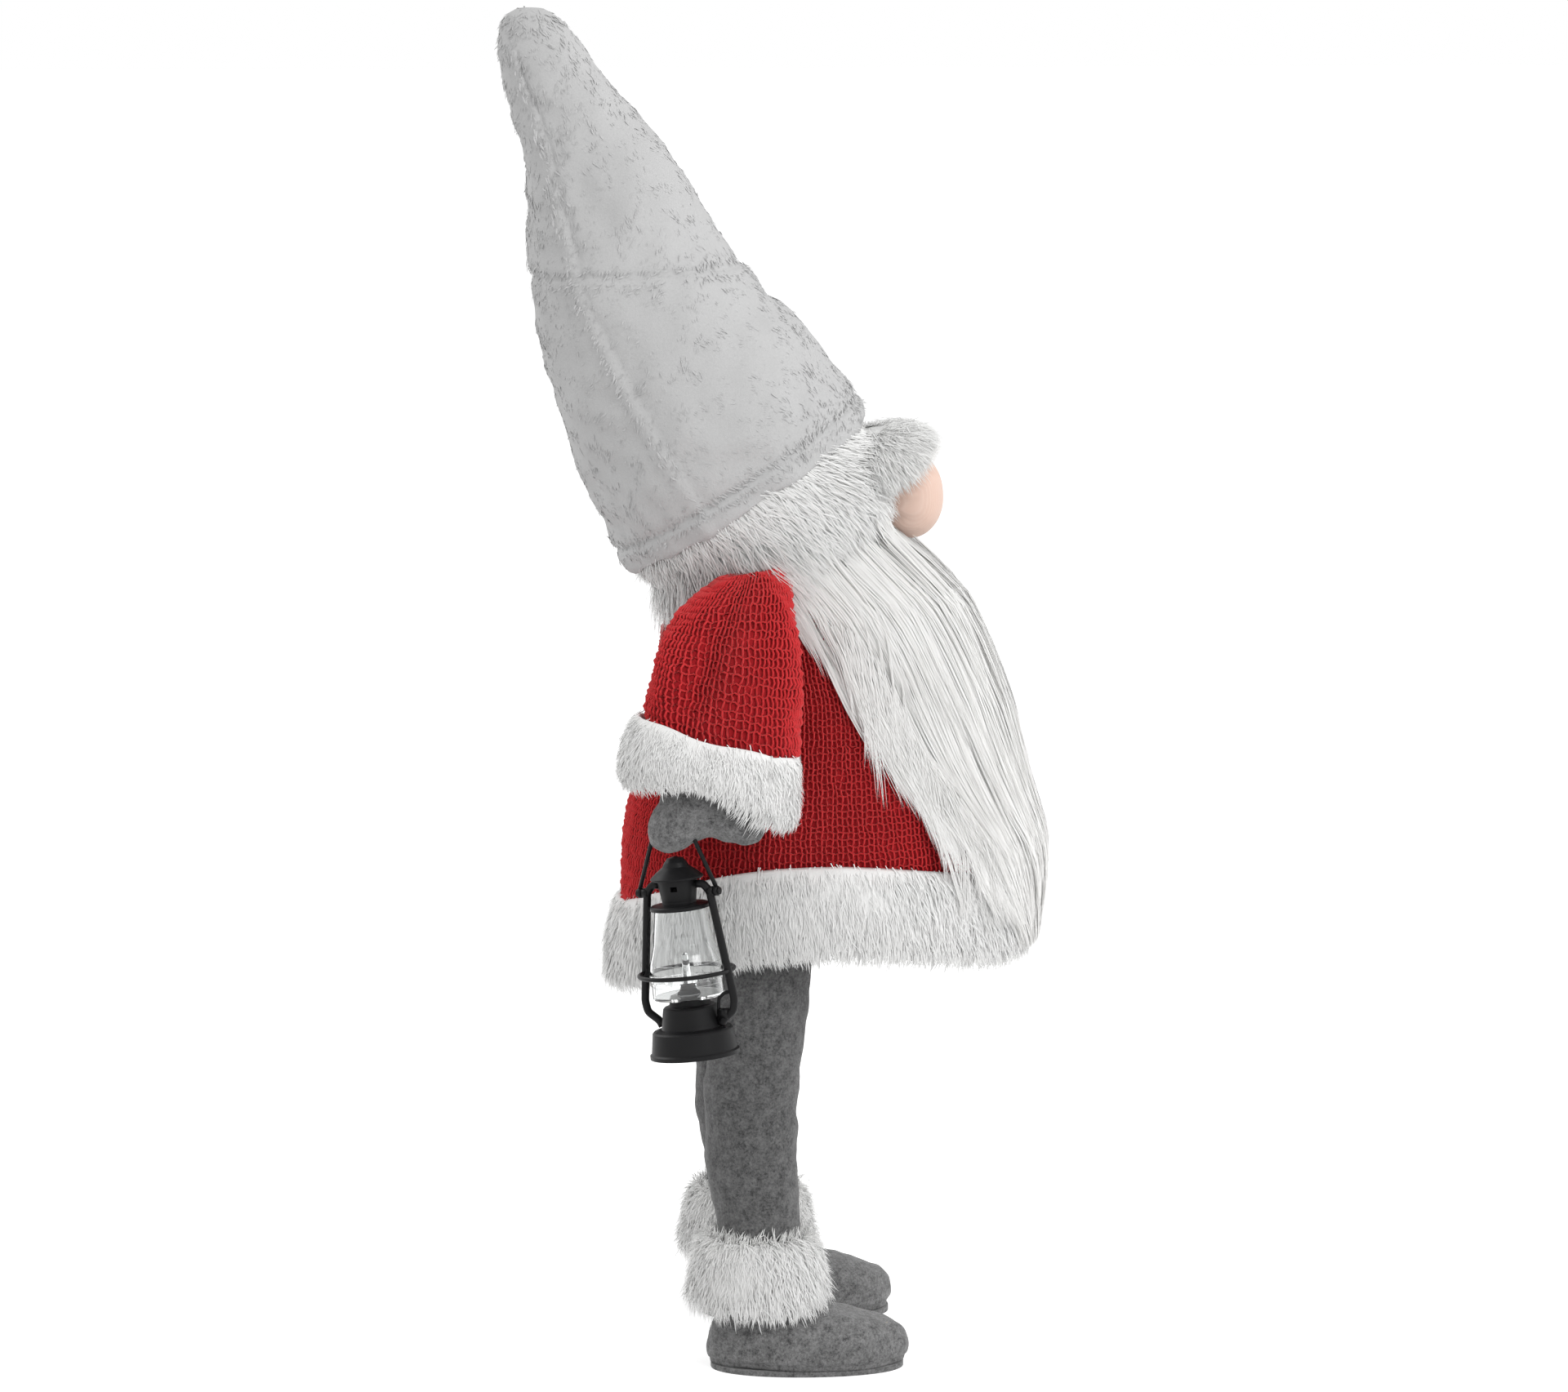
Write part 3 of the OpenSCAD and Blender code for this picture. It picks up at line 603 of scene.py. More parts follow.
def knit(name, surface, stitches, courses, low, high, thick, body, seed, samples=8, sides=3):
    """Rounds of knitted loops on a skin, from v = low to v = high.

    Along its round the yarn is at s + 0.16 sin(4 pi s) stitches, 0.62 cos(2 pi s) of a course
    below the middle of its own, and -0.6 thick cos(4 pi s) outside the skin, so each loop hangs
    through the loop below. The tube's cross-section is a polygon of the given number of sides.
    """
    s = np.arange(stitches * samples) / samples
    course = (np.arange(courses) + 0.5)[:, None]
    u = (s + 0.16 * np.sin(4 * np.pi * s))[None] / stitches
    v = low + (high - low) * (course - 0.62 * np.cos(2 * np.pi * s)) / courses
    out = -0.6 * thick * np.cos(4 * np.pi * s) + 0 * v
    middle = surface(u + 0 * v, v, out)
    middle = middle + 0.5 * thick * np.stack([lumps(middle, 0.011, seed + k) for k in range(3)], -1)
    normal = unit(surface(u + 0 * v, v, out + 0.001) - surface(u + 0 * v, v, out))
    tangent = unit(np.roll(middle, -1, 1) - np.roll(middle, 1, 1))
    across = unit(np.cross(tangent, normal))
    normal = np.cross(across, tangent)
    turn = 2 * np.pi * np.arange(sides) / sides
    tube = np.cos(turn)[:, None] * normal[:, :, None] + np.sin(turn)[:, None] * across[:, :, None]
    points = middle[:, :, None] + tube * thick / 2
    count = stitches * samples
    one = grid_faces(count, sides, True)
    faces = (one + count * sides * np.arange(courses)[:, None, None]).reshape(-1, 4)
    return piece(name, points, [faces], red_yarn, body, "red_knit")


u, v = np.meshgrid(np.arange(160) / 160, np.linspace(0, 1, 60))
both_faces = np.concatenate([draped_coat(u, v, -0.0016), draped_coat(u, v[::-1], -0.0022)])
lining = piece("coat_lining", both_faces, [grid_faces(120, 160, True)], red_lining_painted_shade, "figure", "red_knit")
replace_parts(lining, "coat")
knit("coat_knit_skirt", draped_coat, stitches=116, courses=26, low=0.02, high=0.52, thick=0.0014,
     body="figure", seed=51)
knit("coat_knit_top", draped_coat, stitches=116, courses=24, low=0.52, high=0.98, thick=0.0014,
     body="figure", seed=54)

# ---- Hem of the coat -------------------------------------------------
# A broad band of white plush, doubled over the edge of the knit and sewn on. Its upper edge is
# rolled and smooth, and longer hairs hang in a ragged row from its lower edge.
hem_rows = [
    [0, -23.5, 269, 109.5, 122.5, 0, 1],
    [0, -23.5, 266, 113, 126, 0, 1],
    [0, -23.5, 271, 116.5, 129.5, 0, 1],
    [0, -23.5, 292, 115, 128.5, 0, 1],
    [0, -23.5, 309, 110, 124, 0, 1],
    [0, -23.2, 314.5, 106.5, 121, 0, 1],
    [0, -23, 315, 104, 119, 0, 1],
    [0, -23.5, 290, 108.6, 121.8, 0, 1],
]
hem_skin = ring_skin(hem_rows, loop=True, lift=hem_lift)
hem_rolls = plump((0.0016, 0.06, 61), (0.0007, 0.02, 62))
hem = piece("hem_band", *skin_mesh(hem_skin, 56, 260, hem_rolls, loop=True),
            white_backing, "figure", "white_fur")
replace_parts(hem, "coat_hem")
u, v = scatter(6200, 0.02, 0.53)
low = np.clip(1 - v / 0.16, 0, 1)
fur("hem_fur", hem_skin, u, v, 0.012 + 0.004 * low, (0.32, 0.8, 0.08), (0.06, 1.0, 0.12), white_fur,
    "figure", hairs=6, seed=63, spread=0.0026, drift=(0, 0, -0.3), ruffle=0.16, clump=0.4)

# ---- Fur of the head -------------------------------------------------
# A collar of deep white plush round the stuffed head, glued under the hat. It is shorter at the
# hat's hem and ends in a ragged fringe over the neck of the coat.
head_rows = [
    [0, -2, 474, 52, 58, 14],
    [0, 3, 488, 63, 69, 15],
    [0, 3, 505, 69, 77, 21],
    [0, 9, 518, 72, 80, 27],
    [0, 19, 529.2, 73, 79, 32.6],
    [0, 27, 543, 69, 76, 32.6],
]
head_skin = ring_skin(head_rows)
head = piece("head_backing", *skin_mesh(head_skin, 40, 160), white_backing, "figure", "white_fur")
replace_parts(head, "head_fur")
u, v = scatter(4000, 0.10, 0.86)
low = np.clip(1 - (v - 0.10) / 0.5, 0, 1)
by_nose = dent(u - 0.75, 0.085)
behind = np.clip(0.4 + np.sin(2 * np.pi * u), 0, 1)
shoulder = dent(np.abs(np.cos(2 * np.pi * u)) - 0.95, 0.35) * dent(v - 0.44, 0.17)
shoulder = shoulder * np.clip(0.45 + 1.5 * np.sin(2 * np.pi * u), 0, 1)
temple = dent(np.abs(u - 0.75) - 0.11, 0.05) * np.clip((v - 0.45) / 0.2, 0, 1)
forward = -0.55 * np.cos(2 * np.pi * u) * (1 + temple)
length = (0.014 + (0.019 + 0.014 * behind) * low) * (1 - 0.6 * by_nose)
fur("head_fur_pile", head_skin, u, v, length + 0.044 * shoulder + 0.012 * temple,
    (0.42 + 0.35 * behind * low + 0.9 * shoulder + 0.8 * temple, 0.8 - 0.5 * shoulder, forward * 0.6),
    (0.12 + 0.6 * shoulder + 0.3 * temple, 1.0, forward), white_fur, "figure", hairs=7, seed=71,
    steps=5, spread=0.0034, drift=(0, 0, -0.25), ruffle=0.2)

# ---- Nose ------------------------------------------------------------
# A ball of fine flesh-coloured jersey, gathered behind over a wad of stuffing and sewn on. The
# weave shows as very small ribs, and the skin puckers towards the gathers.
nose_middle = np.array([0, -80, 528]) * MM
nose_half = np.array([22, 21, 26]) * MM


def ball(u, v):
    """An upright oval ball: the circle at height -cos(pi v) has the radius sin(pi v)."""
    ring, turn = np.sin(np.pi * v), 2 * np.pi * u
    across, along = ring * np.cos(turn), ring * np.sin(turn)
    return nose_middle + nose_half * np.stack([across, along, -np.cos(np.pi * v)], -1)


def gathered(u, v, points, normals):
    """Slightly fuller below, with puckers that run in towards the back."""
    x, y, z = np.moveaxis(points - nose_middle, -1, 0)
    back = np.clip(y / nose_half[1] + 0.35, 0, 1)
    pucker = 0.0009 * back * np.sin(13 * np.arctan2(z, x))
    full = 0.0012 * np.clip(-z, 0, 1) / nose_half[2]
    return points + normals * (full + pucker + 0.0005 * lumps(points, 0.03, 81))[..., None]


nose_jersey, n, shader = new_material("nose_jersey")
wave = n.add("TexWave", wave_type="BANDS", bands_direction="X")
place = n.add("TexCoord").outputs["Object"]
ribs = n.fill(wave, Scale=260, Distortion=1.2, Detail_Scale=3, Vector=place).outputs["Fac"]
share = n.weighted(ribs, 0.25, n.noise(60, 3, 0.6), 0.75)
n.fill(shader, Base_Color=n.blend(share, (0.76, 0.52, 0.42), (0.84, 0.64, 0.55)), Roughness=0.8,
       Specular_IOR_Level=0.2, Sheen_Weight=0.2, Normal=n.bump(ribs, 0.25, 0.0003))
nose = piece("nose_ball", *skin_mesh(ball, 60, 90, gathered), nose_jersey, "figure", "nose_cloth")
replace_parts(nose, "nose")

# ---- Brow ------------------------------------------------------------
# A thick tuft of the same fur between the hat and the nose. It sweeps forward from under the
# hat's hem and falls over the top and the sides of the nose.
brow_rows = [
    [0, -52, 541, 28, 14, 14],
    [0, -57, 545, 42, 24, 14],
    [0, -60, 552, 46, 29, 14],
    [0, -60, 560, 41, 27, 14],
    [0, -56, 566, 24, 15, 14],
]
brow_skin = ring_skin(brow_rows)
brow = piece("brow_backing", *skin_mesh(brow_skin, 24, 90), white_backing, "figure", "white_fur")
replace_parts(brow, "brow_fur")
u, v = scatter(2600, 0.08, 0.99)
u = 0.42 + 0.66 * u
ahead = np.clip(-np.sin(2 * np.pi * u), 0, 1) ** 2
length = (0.020 - 0.005 * ahead) * (1 - 0.5 * ahead * (v < 0.45))
aside = brow_skin(u, v)[:, :1] / 0.06
fur("brow_fur_pile", brow_skin, u, v, length, (0.30, 0.6, 0), (0.05, 0.8, 0), white_fur, "figure",
    hairs=7, seed=91, steps=5, spread=0.0036, drift=(0, -0.65, -0.55), clump=0.3, ruffle=0.2,
    lean=aside * [1, 0, 0] + [0, 0, 1.5])

# ---- Beard -----------------------------------------------------------
# Long straight white hair on a cloth backing, sewn under the nose and along both cheeks. Its
# locks sweep down from the cheeks towards the front and end in thin points over the coat.
beard_shape = np.array([
    # height, middle y, half width, half depth, fall at the edges, and half the spread in degrees
    [243, -23.5, 122, 133, 2, 14],
    [262, -23.5, 123, 136, 3, 22],
    [278, -23.5, 124, 139, 6, 29],
    [300, -23.5, 121, 142, 12, 38],
    [318, -22.7, 117, 142, 13, 45],
    [342, -22.7, 106, 135, 12, 56],
    [372, -23, 100, 127, 10, 68],
    [404, -23, 93, 120, 8, 78],
    [441, -17, 86, 113, 8, 84],
    [467, -11, 81, 109, 8, 90],
    [487, -3, 78, 101, 6, 98],
    [512, 3, 74, 86, 4, 106],
]) * [MM, MM, MM, MM, MM, math.radians(1)]


def beard_row(z):
    """The beard's middle, half width, half depth, fall and spread at a height, between its rows."""
    return [np.interp(z, beard_shape[:, 0], beard_shape[:, k]) for k in range(1, 6)]


def on_beard(angle, z, out):
    """A point on the beard: an oval about the upright axis, the angle counted from straight ahead.

    Towards its edges the beard thins out and falls to the coat, as the cube of the angle.
    """
    middle, wide, deep, fall, spread = beard_row(z)
    out = out - fall * np.clip(np.abs(angle) / spread, 0, 1) ** 3
    return np.stack([(wide + out) * np.sin(angle), middle - (deep + out) * np.cos(angle), z], -1)


def sunk(z):
    """How deep the beard's upper edge lies in the fur of the head."""
    return 0.009 * np.clip((z - 0.475) / 0.03, 0, 1)


def beard_cloth(u, v):
    """The backing: its outer side for u below a half and its inner side above, thin at all edges."""
    z = 0.262 + 0.246 * v
    spread = beard_row(z)[4] * 0.96
    thin_out = np.sqrt(np.abs(np.sin(2 * np.pi * u)) * np.sin(np.pi * np.clip(v, 0, 1)))
    out = 0.0035 * np.sign(0.5 - u) * thin_out - 0.0078 - sunk(z)
    return on_beard(-spread * np.cos(2 * np.pi * u), z, out)


u, v = np.meshgrid(np.arange(160) / 160, np.linspace(0, 1, 70))
beard = piece("beard_backing", beard_cloth(u, v), [grid_faces(70, 160)],
              white_backing, "figure", "beard_fur")
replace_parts(beard, "beard")


lowest_tip = 0.2465
lowest_stray = 0.268


def beard_locks(name, tufts, locks, hairs, seed, steps=6):
    """Long hair in tufts, each of several locks, each of several hairs.

    A hair that starts at height z0 falls by its length, and its angle keeps its share of the
    beard's spread to the power 0.8, so that it runs along the edge and a little over it. It
    rises from the backing to its layer as 1 - (1 - t)^3. Hairs are drawn to their lock and
    locks to their tuft on the way down, and a slow wave moves each tuft from side to side.
    """
    rng = np.random.default_rng(seed)
    each = (tufts, locks, hairs)
    by_group = (tufts, 1, 1), (tufts, locks, 1), each
    s, rows = scatter(tufts, low=0.276, high=0.514)

    def wild(*sizes):
        """Random steps for each tuft, each lock and each hair, of the given sizes."""
        return sum(rng.normal(0, size, shape) for size, shape in zip(sizes, by_group) if size)

    z0 = rows[:, None, None] + wild(0.006, 0.005, 0.0015)
    share = np.clip((2 * s - 1)[:, None, None] + wild(0, 0.045, 0.012), -1.04, 1.04)
    length = 0.098 - 0.030 * np.abs(share) ** 2 + wild(0.010, 0.009, 0.006)
    length = np.minimum(length, z0 - lowest_tip - 0.012 * rng.random(each))
    layer = wild(0.0010, 0.0007, 0.0006) - 0.001
    t = np.linspace(0, 1, steps)
    z = z0[..., None] - length[..., None] * t
    start, now = beard_row(z0)[4][..., None], beard_row(z)[4]
    phase, level = rng.uniform(0, 6.28, (2, tufts, 1, 1, 1))
    wave = np.sin(2.4 * t + phase) - np.sin(level)
    angle = share[..., None] * start * (now / start) ** 0.8 + 0.012 * wave * t
    depth = 0.0045 + sunk(z0)[..., None]
    out = (layer[..., None] + depth) * (1 - (1 - t) ** 3) - depth + 0.0015 * t**2
    paths = on_beard(angle, z, out)
    draw = t[:, None] ** 1.5
    paths += (paths.mean(axis=2, keepdims=True) - paths) * 0.50 * draw
    paths += (paths.mean(axis=(1, 2), keepdims=True) - paths) * 0.22 * draw
    aside = angle[..., 0] + 0.18 * np.sin(2 * angle[..., 0])
    facing = np.stack([np.sin(aside), -np.cos(aside), 0 * aside], -1).reshape(-1, 3)
    turn = rng.normal(0, 0.12, (tufts * locks * hairs, 3))
    tone = sum(part * rng.random(shape) for part, shape in zip((0.35, 0.4, 0.25), by_group)).ravel()
    paths = paths.reshape(-1, steps, 3)
    return ribbons(name, paths, facing, turn, 0.0008, tone, beard_fur, "figure", "beard_fur")


def stray_locks(name, count, hairs, seed, steps=9):
    """Thin locks that leave the beard's edge and hang over the coat, almost straight down.

    A stray starts inside the edge at a share of the spread and falls more steeply than it: its
    angle goes with the spread to a low power, up to a limit of its own. It swings by swing t^2.
    """
    rng = np.random.default_rng(seed)
    each = (count, hairs)
    side = np.where(np.arange(count) % 2 == 0, -1, 1)[:, None]
    z0 = rng.uniform(0.318, 0.458, (count, 1)) + rng.normal(0, 0.002, each)
    start = rng.uniform(0.84, 1.0, (count, 1)) + rng.normal(0, 0.010, each)
    length = rng.uniform(0.035, 0.080, (count, 1)) * rng.uniform(0.7, 1.1, each)
    length = np.minimum(length, z0 - lowest_stray)
    t = np.linspace(0, 1, steps)
    z = z0[..., None] - length[..., None] * t
    swing = rng.normal(0.01, 0.05, (count, 1)) + rng.normal(0, 0.016, each)
    steep = rng.uniform(0.1, 1.0, (count, 1, 1))
    above, now = beard_row(z0)[4][..., None], beard_row(z)[4]
    angle = side[..., None] * (start[..., None] * above * (now / above) ** steep + swing[..., None] * t**2)
    limit = rng.uniform(1.12, 1.5, (count, 1, 1)) + 0.05 * t
    angle = np.clip(angle, -limit, limit)
    straying = np.clip(np.abs(angle) / now, 0, 1) ** 3
    out = 0.0036 * straying + rng.uniform(0, 0.002, each)[..., None] * (1 - t)
    paths = on_beard(angle, z, out)
    paths += (paths.mean(axis=1, keepdims=True) - paths) * 0.45 * t[:, None]
    facing = unit(on_beard(angle[..., 0], z0, 0.01) - on_beard(angle[..., 0], z0, 0)).reshape(-1, 3)
    turn = rng.normal(0, 0.12, (count * hairs, 3))
    tone = rng.random(count * hairs)
    paths = paths.reshape(-1, steps, 3)
    return ribbons(name, paths, facing, turn, 0.00042, tone, beard_fur, "figure", "beard_fur")


# Roots a little darker than tips: painted shade deep in the beard.
beard_fur = fur_material("beard_fur", (0.92, 0.915, 0.90), (0.96, 0.955, 0.94), 0.08)
beard_locks("beard_hair", tufts=330, locks=10, hairs=6, seed=101)
stray_locks("beard_strays", count=360, hairs=12, seed=103)

# ---- Hat -------------------------------------------------------------
# A tall cone of short pale grey plush with a turned and stitched hem, a seam down each side and
# one round it where the tip is joined on. A wire inside lets the tip nod and stay there.
hat_rows = [
    [0, 19, 528, 72, 78, 32.6],
    [0, 20, 531, 79, 85.5, 32.6],
    [0, 34, 561, 80, 87, 24.5],
    [0, 48, 587, 76, 83, 15.5],
    [0, 66, 622, 67, 76, 11],
    [0, 80, 650, 59, 69, 4],
    [0, 94, 691.6, 47, 57, -1],
    [0, 106, 727, 41, 48, 0],
    [0, 124, 762, 31.5, 36, 0],
    [0, 138, 786, 26, 29, 0],
    [0, 144, 804, 21, 24, 0],
    [0, 147, 815, 14, 16.5, 0],
    [0, 149, 821, 6, 7, 0],
]
hat_bare = ring_skin(hat_rows)
hem_slope = math.radians(32.6)
hem_middle = np.array([0, 20, 531]) * MM


def hat_skin(u, v, out=0.0):
    """The cone with its lumps, and grooves along the hem's stitches and the seams."""
    points = hat_bare(u, v, out)
    normal = round_and_out(hat_bare, u, v)[1]
    above_hem = (points - hem_middle) @ [0, math.sin(hem_slope), math.cos(hem_slope)]
    tip_seam = points[..., 2] + 0.06 * points[..., 1] - 0.672
    back = np.sin(2 * np.pi * u)
    side_seam = (back - np.interp(points[..., 2], (0.53, 0.72, 0.80), (0.30, 0.62, 0.60))) * 0.06
    rise = -0.0022 * dent(above_hem - 0.0125, 0.0022) - 0.0020 * dent(tip_seam, 0.0028)
    rise += (0.0012 * dent(side_seam - 0.004, 0.004) - 0.0010 * dent(side_seam, 0.0022)) * (v < 0.9)
    return points + normal * (lumpy(points, (0.0024, 0.060, 111), (0.0011, 0.024, 112)) + rise[..., None])


def inset(surface, depth):
    """The same skin, further in."""
    return lambda u, v: surface(u, v, -depth)


def over_the_bend(made):
    """Bakes a piece of the hat's transform into its points."""
    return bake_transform(made)


grey_backing = backing_material("grey_backing", (0.60, 0.60, 0.60), 700, 0.25)
hat = over_the_bend(piece("hat_shell", *skin_mesh(hat_skin, 220, 200), grey_backing, None, "grey_plush"))
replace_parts(hat, "hat_lower", "hat_bend_section", "hat_tip")
stuffing = backing_material("stuffing", (0.82, 0.82, 0.80), 400)
packed = over_the_bend(piece("hat_wadding", *skin_mesh(inset(hat_bare, 0.0055), 60, 60), stuffing,
                             None, "filling"))
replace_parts(packed, "hat_filling_lower", "hat_filling_tip")
# Roots clearly darker than tips: painted shade down in the pile.
grey_pile = fur_material("grey_pile", (0.52, 0.52, 0.52), (0.60, 0.60, 0.60), 0.06)
u, v = scatter(7800, 0.045, 0.985, 0.82)
place = hat_bare(u, v)
swirl = 0.9 * lumps(place, 0.09, 113)
over_the_bend(fur("hat_pile", hat_skin, u, v, 0.0048 + 0.0008 * lumps(place, 0.03, 114),
                  (0.11, 0.9, swirl), (0.0, 1.0, 1.2 * swirl), grey_pile, None, hairs=8, seed=115, steps=3,
                  spread=0.0024, clump=0.35, ruffle=0.12, width=0.0010, slot="grey_plush"))

# ---- Sleeves ---------------------------------------------------------
# Short wide sleeves of the same yarn in a looser knit, lined with the same darker red, which is
# painted shade for the holes of the knit, stuffed, and sewn to the shoulders under the fur of the
# head. The left one hangs further forward.
sleeve_rows = [
    [-125.5, 39, 388, 32, 47, -15],
    [-124.5, 39, 393, 32, 47, -15],
    [-119.2, 39, 410, 31, 46.5, -13],
    [-107.7, 35, 440, 27, 43, -8],
    [-94.8, 30, 468, 21.5, 35, 0],
    [-84, 24, 485, 16, 25, 6],
    [-80, 21.5, 491, 9, 15, 8],
]
left_shoulder = np.array([78.5, 23, 487]) * MM


def turning(axis, degrees):
    """The matrix of a turn about an axis: 1 + sin(a) K + (1 - cos(a)) K^2, where K p = axis x p."""
    x, y, z = unit(np.array(axis, float))
    turn = math.radians(degrees)
    across = np.array([[0, -z, y], [z, 0, -x], [-y, x, 0]])
    return np.eye(3) + math.sin(turn) * across + (1 - math.cos(turn)) * across @ across


def hung(points, side):
    """The left arm hangs further forward than the right one, by a turn about its shoulder."""
    forward = turning((-0.95631, 0, -0.29234), 14)
    return points if side < 0 else (points - left_shoulder) @ forward.T + left_shoulder


def arm_skin(rows, side, loop=False, lift=None):
    """The skin of an arm's piece, where that arm hangs."""
    plain = ring_skin(rows, loop, lift, side)
    return lambda u, v, out=0.0: hung(plain(u, v, out), side)


def as_right(u, side):
    """The place round a right-hand piece that mirrors the place u on this side's piece."""
    return u if side < 0 else 0.5 - u


for name, side in SIDES.items():
    arm = f"arm_{name}"
    bare = arm_skin(sleeve_rows, side)

    def sleeve_skin(u, v, out=0.0, bare=bare, side=side):
        """The sleeve with one deep slanting fold down its outer side and soft ones round it."""
        slanting = past(as_right(u, side), 0.38 + 0.13 * v) * 0.22
        fold = 0.0090 * dent(slanting, 0.009) - 0.0024 * dent(slanting - 0.018, 0.009)
        soft = 0.0010 * np.sin(2 * np.pi * (5 * u + 1.5 * v))
        return bare(u, v, out - 0.0006 - (fold - soft) * np.sin(np.pi * np.clip(v, 0, 1)) ** 0.5)

    lining = piece(f"sleeve_lining_{name}", *skin_mesh(inset(sleeve_skin, 0.0016), 50, 100), red_lining_painted_shade,
                   arm, "red_knit")
    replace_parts(lining, f"sleeve_{name}")
    wadding = piece(f"sleeve_wadding_{name}", *skin_mesh(inset(sleeve_skin, 0.0040), 40, 80), stuffing,
                    arm, "filling")
    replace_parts(wadding, f"arm_filling_{name}")
    knit(f"sleeve_knit_{name}", sleeve_skin, stitches=36, courses=21, low=0.095, high=0.99,
         thick=0.0016, body=arm, seed=121 + side)

# ---- Cuffs -----------------------------------------------------------
# Wide hoops of white plush at the ends of the sleeves. Each is closed by a seam at the front,
# where the plush bulges on both sides of the stitches.
cuff_rows = [
    [-133, 48.5, 366, 34, 48, -15, 1],
    [-133.5, 49.5, 361, 37, 51, -15, 1],
    [-133.5, 49, 368, 39, 54, -15, 0.9],
    [-131, 47, 384, 39, 53, -15, 0.35],
    [-127, 44, 396.5, 36, 51, -15],
    [-124.5, 42, 399.5, 34, 49, -15],
    [-124.5, 42, 392, 33.5, 49, -15, 0.3],
    [-128, 44, 380, 33.5, 48.5, -15, 0.8],
]


def pushed_up(u):
    """The fist under it pushes up the outer side of a right cuff's lower edge."""
    return 0.014 * dent(u - 0.49, 0.13)


for name, side in SIDES.items():
    hoop = arm_skin(cuff_rows, side, True, lambda u, side=side: pushed_up(as_right(u, side) % 1))

    def cuff_skin(u, v, out=0.0, hoop=hoop, side=side):
        """The hoop with soft rolls, and the dip of its seam with a bulge in front of it."""
        points = hoop(u, v, out)
        past_seam = past(as_right(u, side), 0.615) * 0.28
        rise = 0.0030 * dent(past_seam - 0.013, 0.010) - 0.0045 * dent(past_seam, 0.004)
        rise = 0.0012 * lumps(points, 0.05, 131) + rise * dent(v - 0.42, 0.13)
        return points + round_and_out(hoop, u, v)[1] * rise[..., None]

    cuff = piece(f"cuff_band_{name}", *skin_mesh(cuff_skin, 50, 160, loop=True), white_backing,
                 f"arm_{name}", "white_fur")
    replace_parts(cuff, f"cuff_{name}")
    u, v = scatter(2600, 0.05, 0.54)
    hanging = np.clip(1 - v / 0.14, 0, 1) * (dent(past(as_right(u, side), 0.60), 0.05) + 0.12)
    fur(f"cuff_fur_{name}", cuff_skin, u, v, 0.0075 + 0.024 * hanging, (0.38, 0.7, 0.1), (0.02, 1.0, 0.12),
        white_fur, f"arm_{name}", hairs=6, seed=133 + side, spread=0.0024, drift=(0, 0, -0.2), ruffle=0.16,
        clump=0.35)

# ---- Mittens ---------------------------------------------------------
# Stuffed felt fists with a thumb, sewn into the cuffs. The right one is closed round the wire
# of the lantern's bail. Palm and thumb are rounded wedges, melted together and then smoothed.
palm = [(-143, 70.5, 346.5, 15), (-139, 55, 363, 21), (-137, 52, 380, 16)]
thumb = [(-147, 25, 347, 10), (-143, 42, 356, 15)]
turns, heights = np.meshgrid(np.linspace(0, 2 * np.pi, 24, endpoint=False), np.linspace(-0.98, 0.98, 13))
level = np.sqrt(1 - heights**2)
directions = np.stack([level * np.cos(turns), level * np.sin(turns), heights], -1).reshape(-1, 3)
mitten_felt = felt_material("mitten_felt", (0.045, 0.045, 0.046), (0.27, 0.27, 0.27), 0.5)
for name, side in SIDES.items():
    rough = bpy.data.meshes.new(f"mitten_{name}")
    shape = bmesh.new()
    for wedge in (palm, thumb):
        part = bmesh.new()
        for x, y, z, radius in wedge:
            middle = np.array([-side * x, y, z])
            for corner in (middle + radius * directions) * MM:
                part.verts.new(corner)
        wrapped = bmesh.ops.convex_hull(part, input=part.verts)
        inner = [item for item in wrapped["geom_interior"] if isinstance(item, bmesh.types.BMVert)]
        bmesh.ops.delete(part, geom=inner, context="VERTS")
        part.to_mesh(rough)
        part.free()
        shape.from_mesh(rough)
    shape.to_mesh(rough)
    shape.free()
    melted = bpy.data.objects.new(f"mitten_{name}", rough)
    scene.collection.objects.link(melted)
    remesh = melted.modifiers.new("melt", "REMESH")
    remesh.mode, remesh.voxel_size = "VOXEL", 0.0018
    smooth = melted.modifiers.new("smooth", "SMOOTH")
    smooth.factor, smooth.iterations = 0.5, 24
    fist = melted.evaluated_get(bpy.context.evaluated_depsgraph_get()).to_mesh()
    points, normals = np.empty((2, len(fist.vertices), 3), np.float32)
    quads = np.empty((len(fist.polygons), 4), np.int32)
    fist.vertices.foreach_get("co", points.ravel())
    fist.vertices.foreach_get("normal", normals.ravel())
    fist.loops.foreach_get("vertex_index", quads.ravel())
    bpy.data.objects.remove(melted)
    points = hung(points + normals * lumpy(points, (0.0011, 0.03, 141), (0.0005, 0.011, 142)), side)
    mitten = piece(f"mitten_felt_{name}", points, [quads], mitten_felt, f"arm_{name}", "mitten_felt")
    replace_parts(mitten, f"mitten_{name}")

# ---- Lantern ---------------------------------------------------------
# A toy storm lantern moulded in satin black plastic round a clear globe. The tank, base plate,
# battery door, chimney and cap keep the CAD's turned shapes and take a moulded finish.
def moulded_plastic(name, colour, roughness):
    """Satin plastic with a fine moulded grain, and worn lighter where it has been handled."""
    material, n, shader = new_material(name)
    light = tuple(1.5 * part + 0.002 for part in colour)
    n.fill(shader, Base_Color=n.blend(n.noise(90, 4, 0.6), colour, light), Specular_IOR_Level=0.16,
           Roughness=n.scaled(n.noise(240, 3, 0.6), 0.16, roughness - 0.08),
           Normal=n.bump(n.noise(2600, 3, 0.6), 0.10, 0.0002))
    return material


black_plastic = moulded_plastic("black_plastic", (0.006, 0.006, 0.0065), 0.42)
grey_plastic = moulded_plastic("grey_plastic", (0.20, 0.20, 0.21), 0.45)
for node in ("lantern_tank", "base_plate", "battery_door", "chimney", "chimney_cap", "burner"):
    refinish(node, black_plastic)
refinish("switch_slider", grey_plastic)

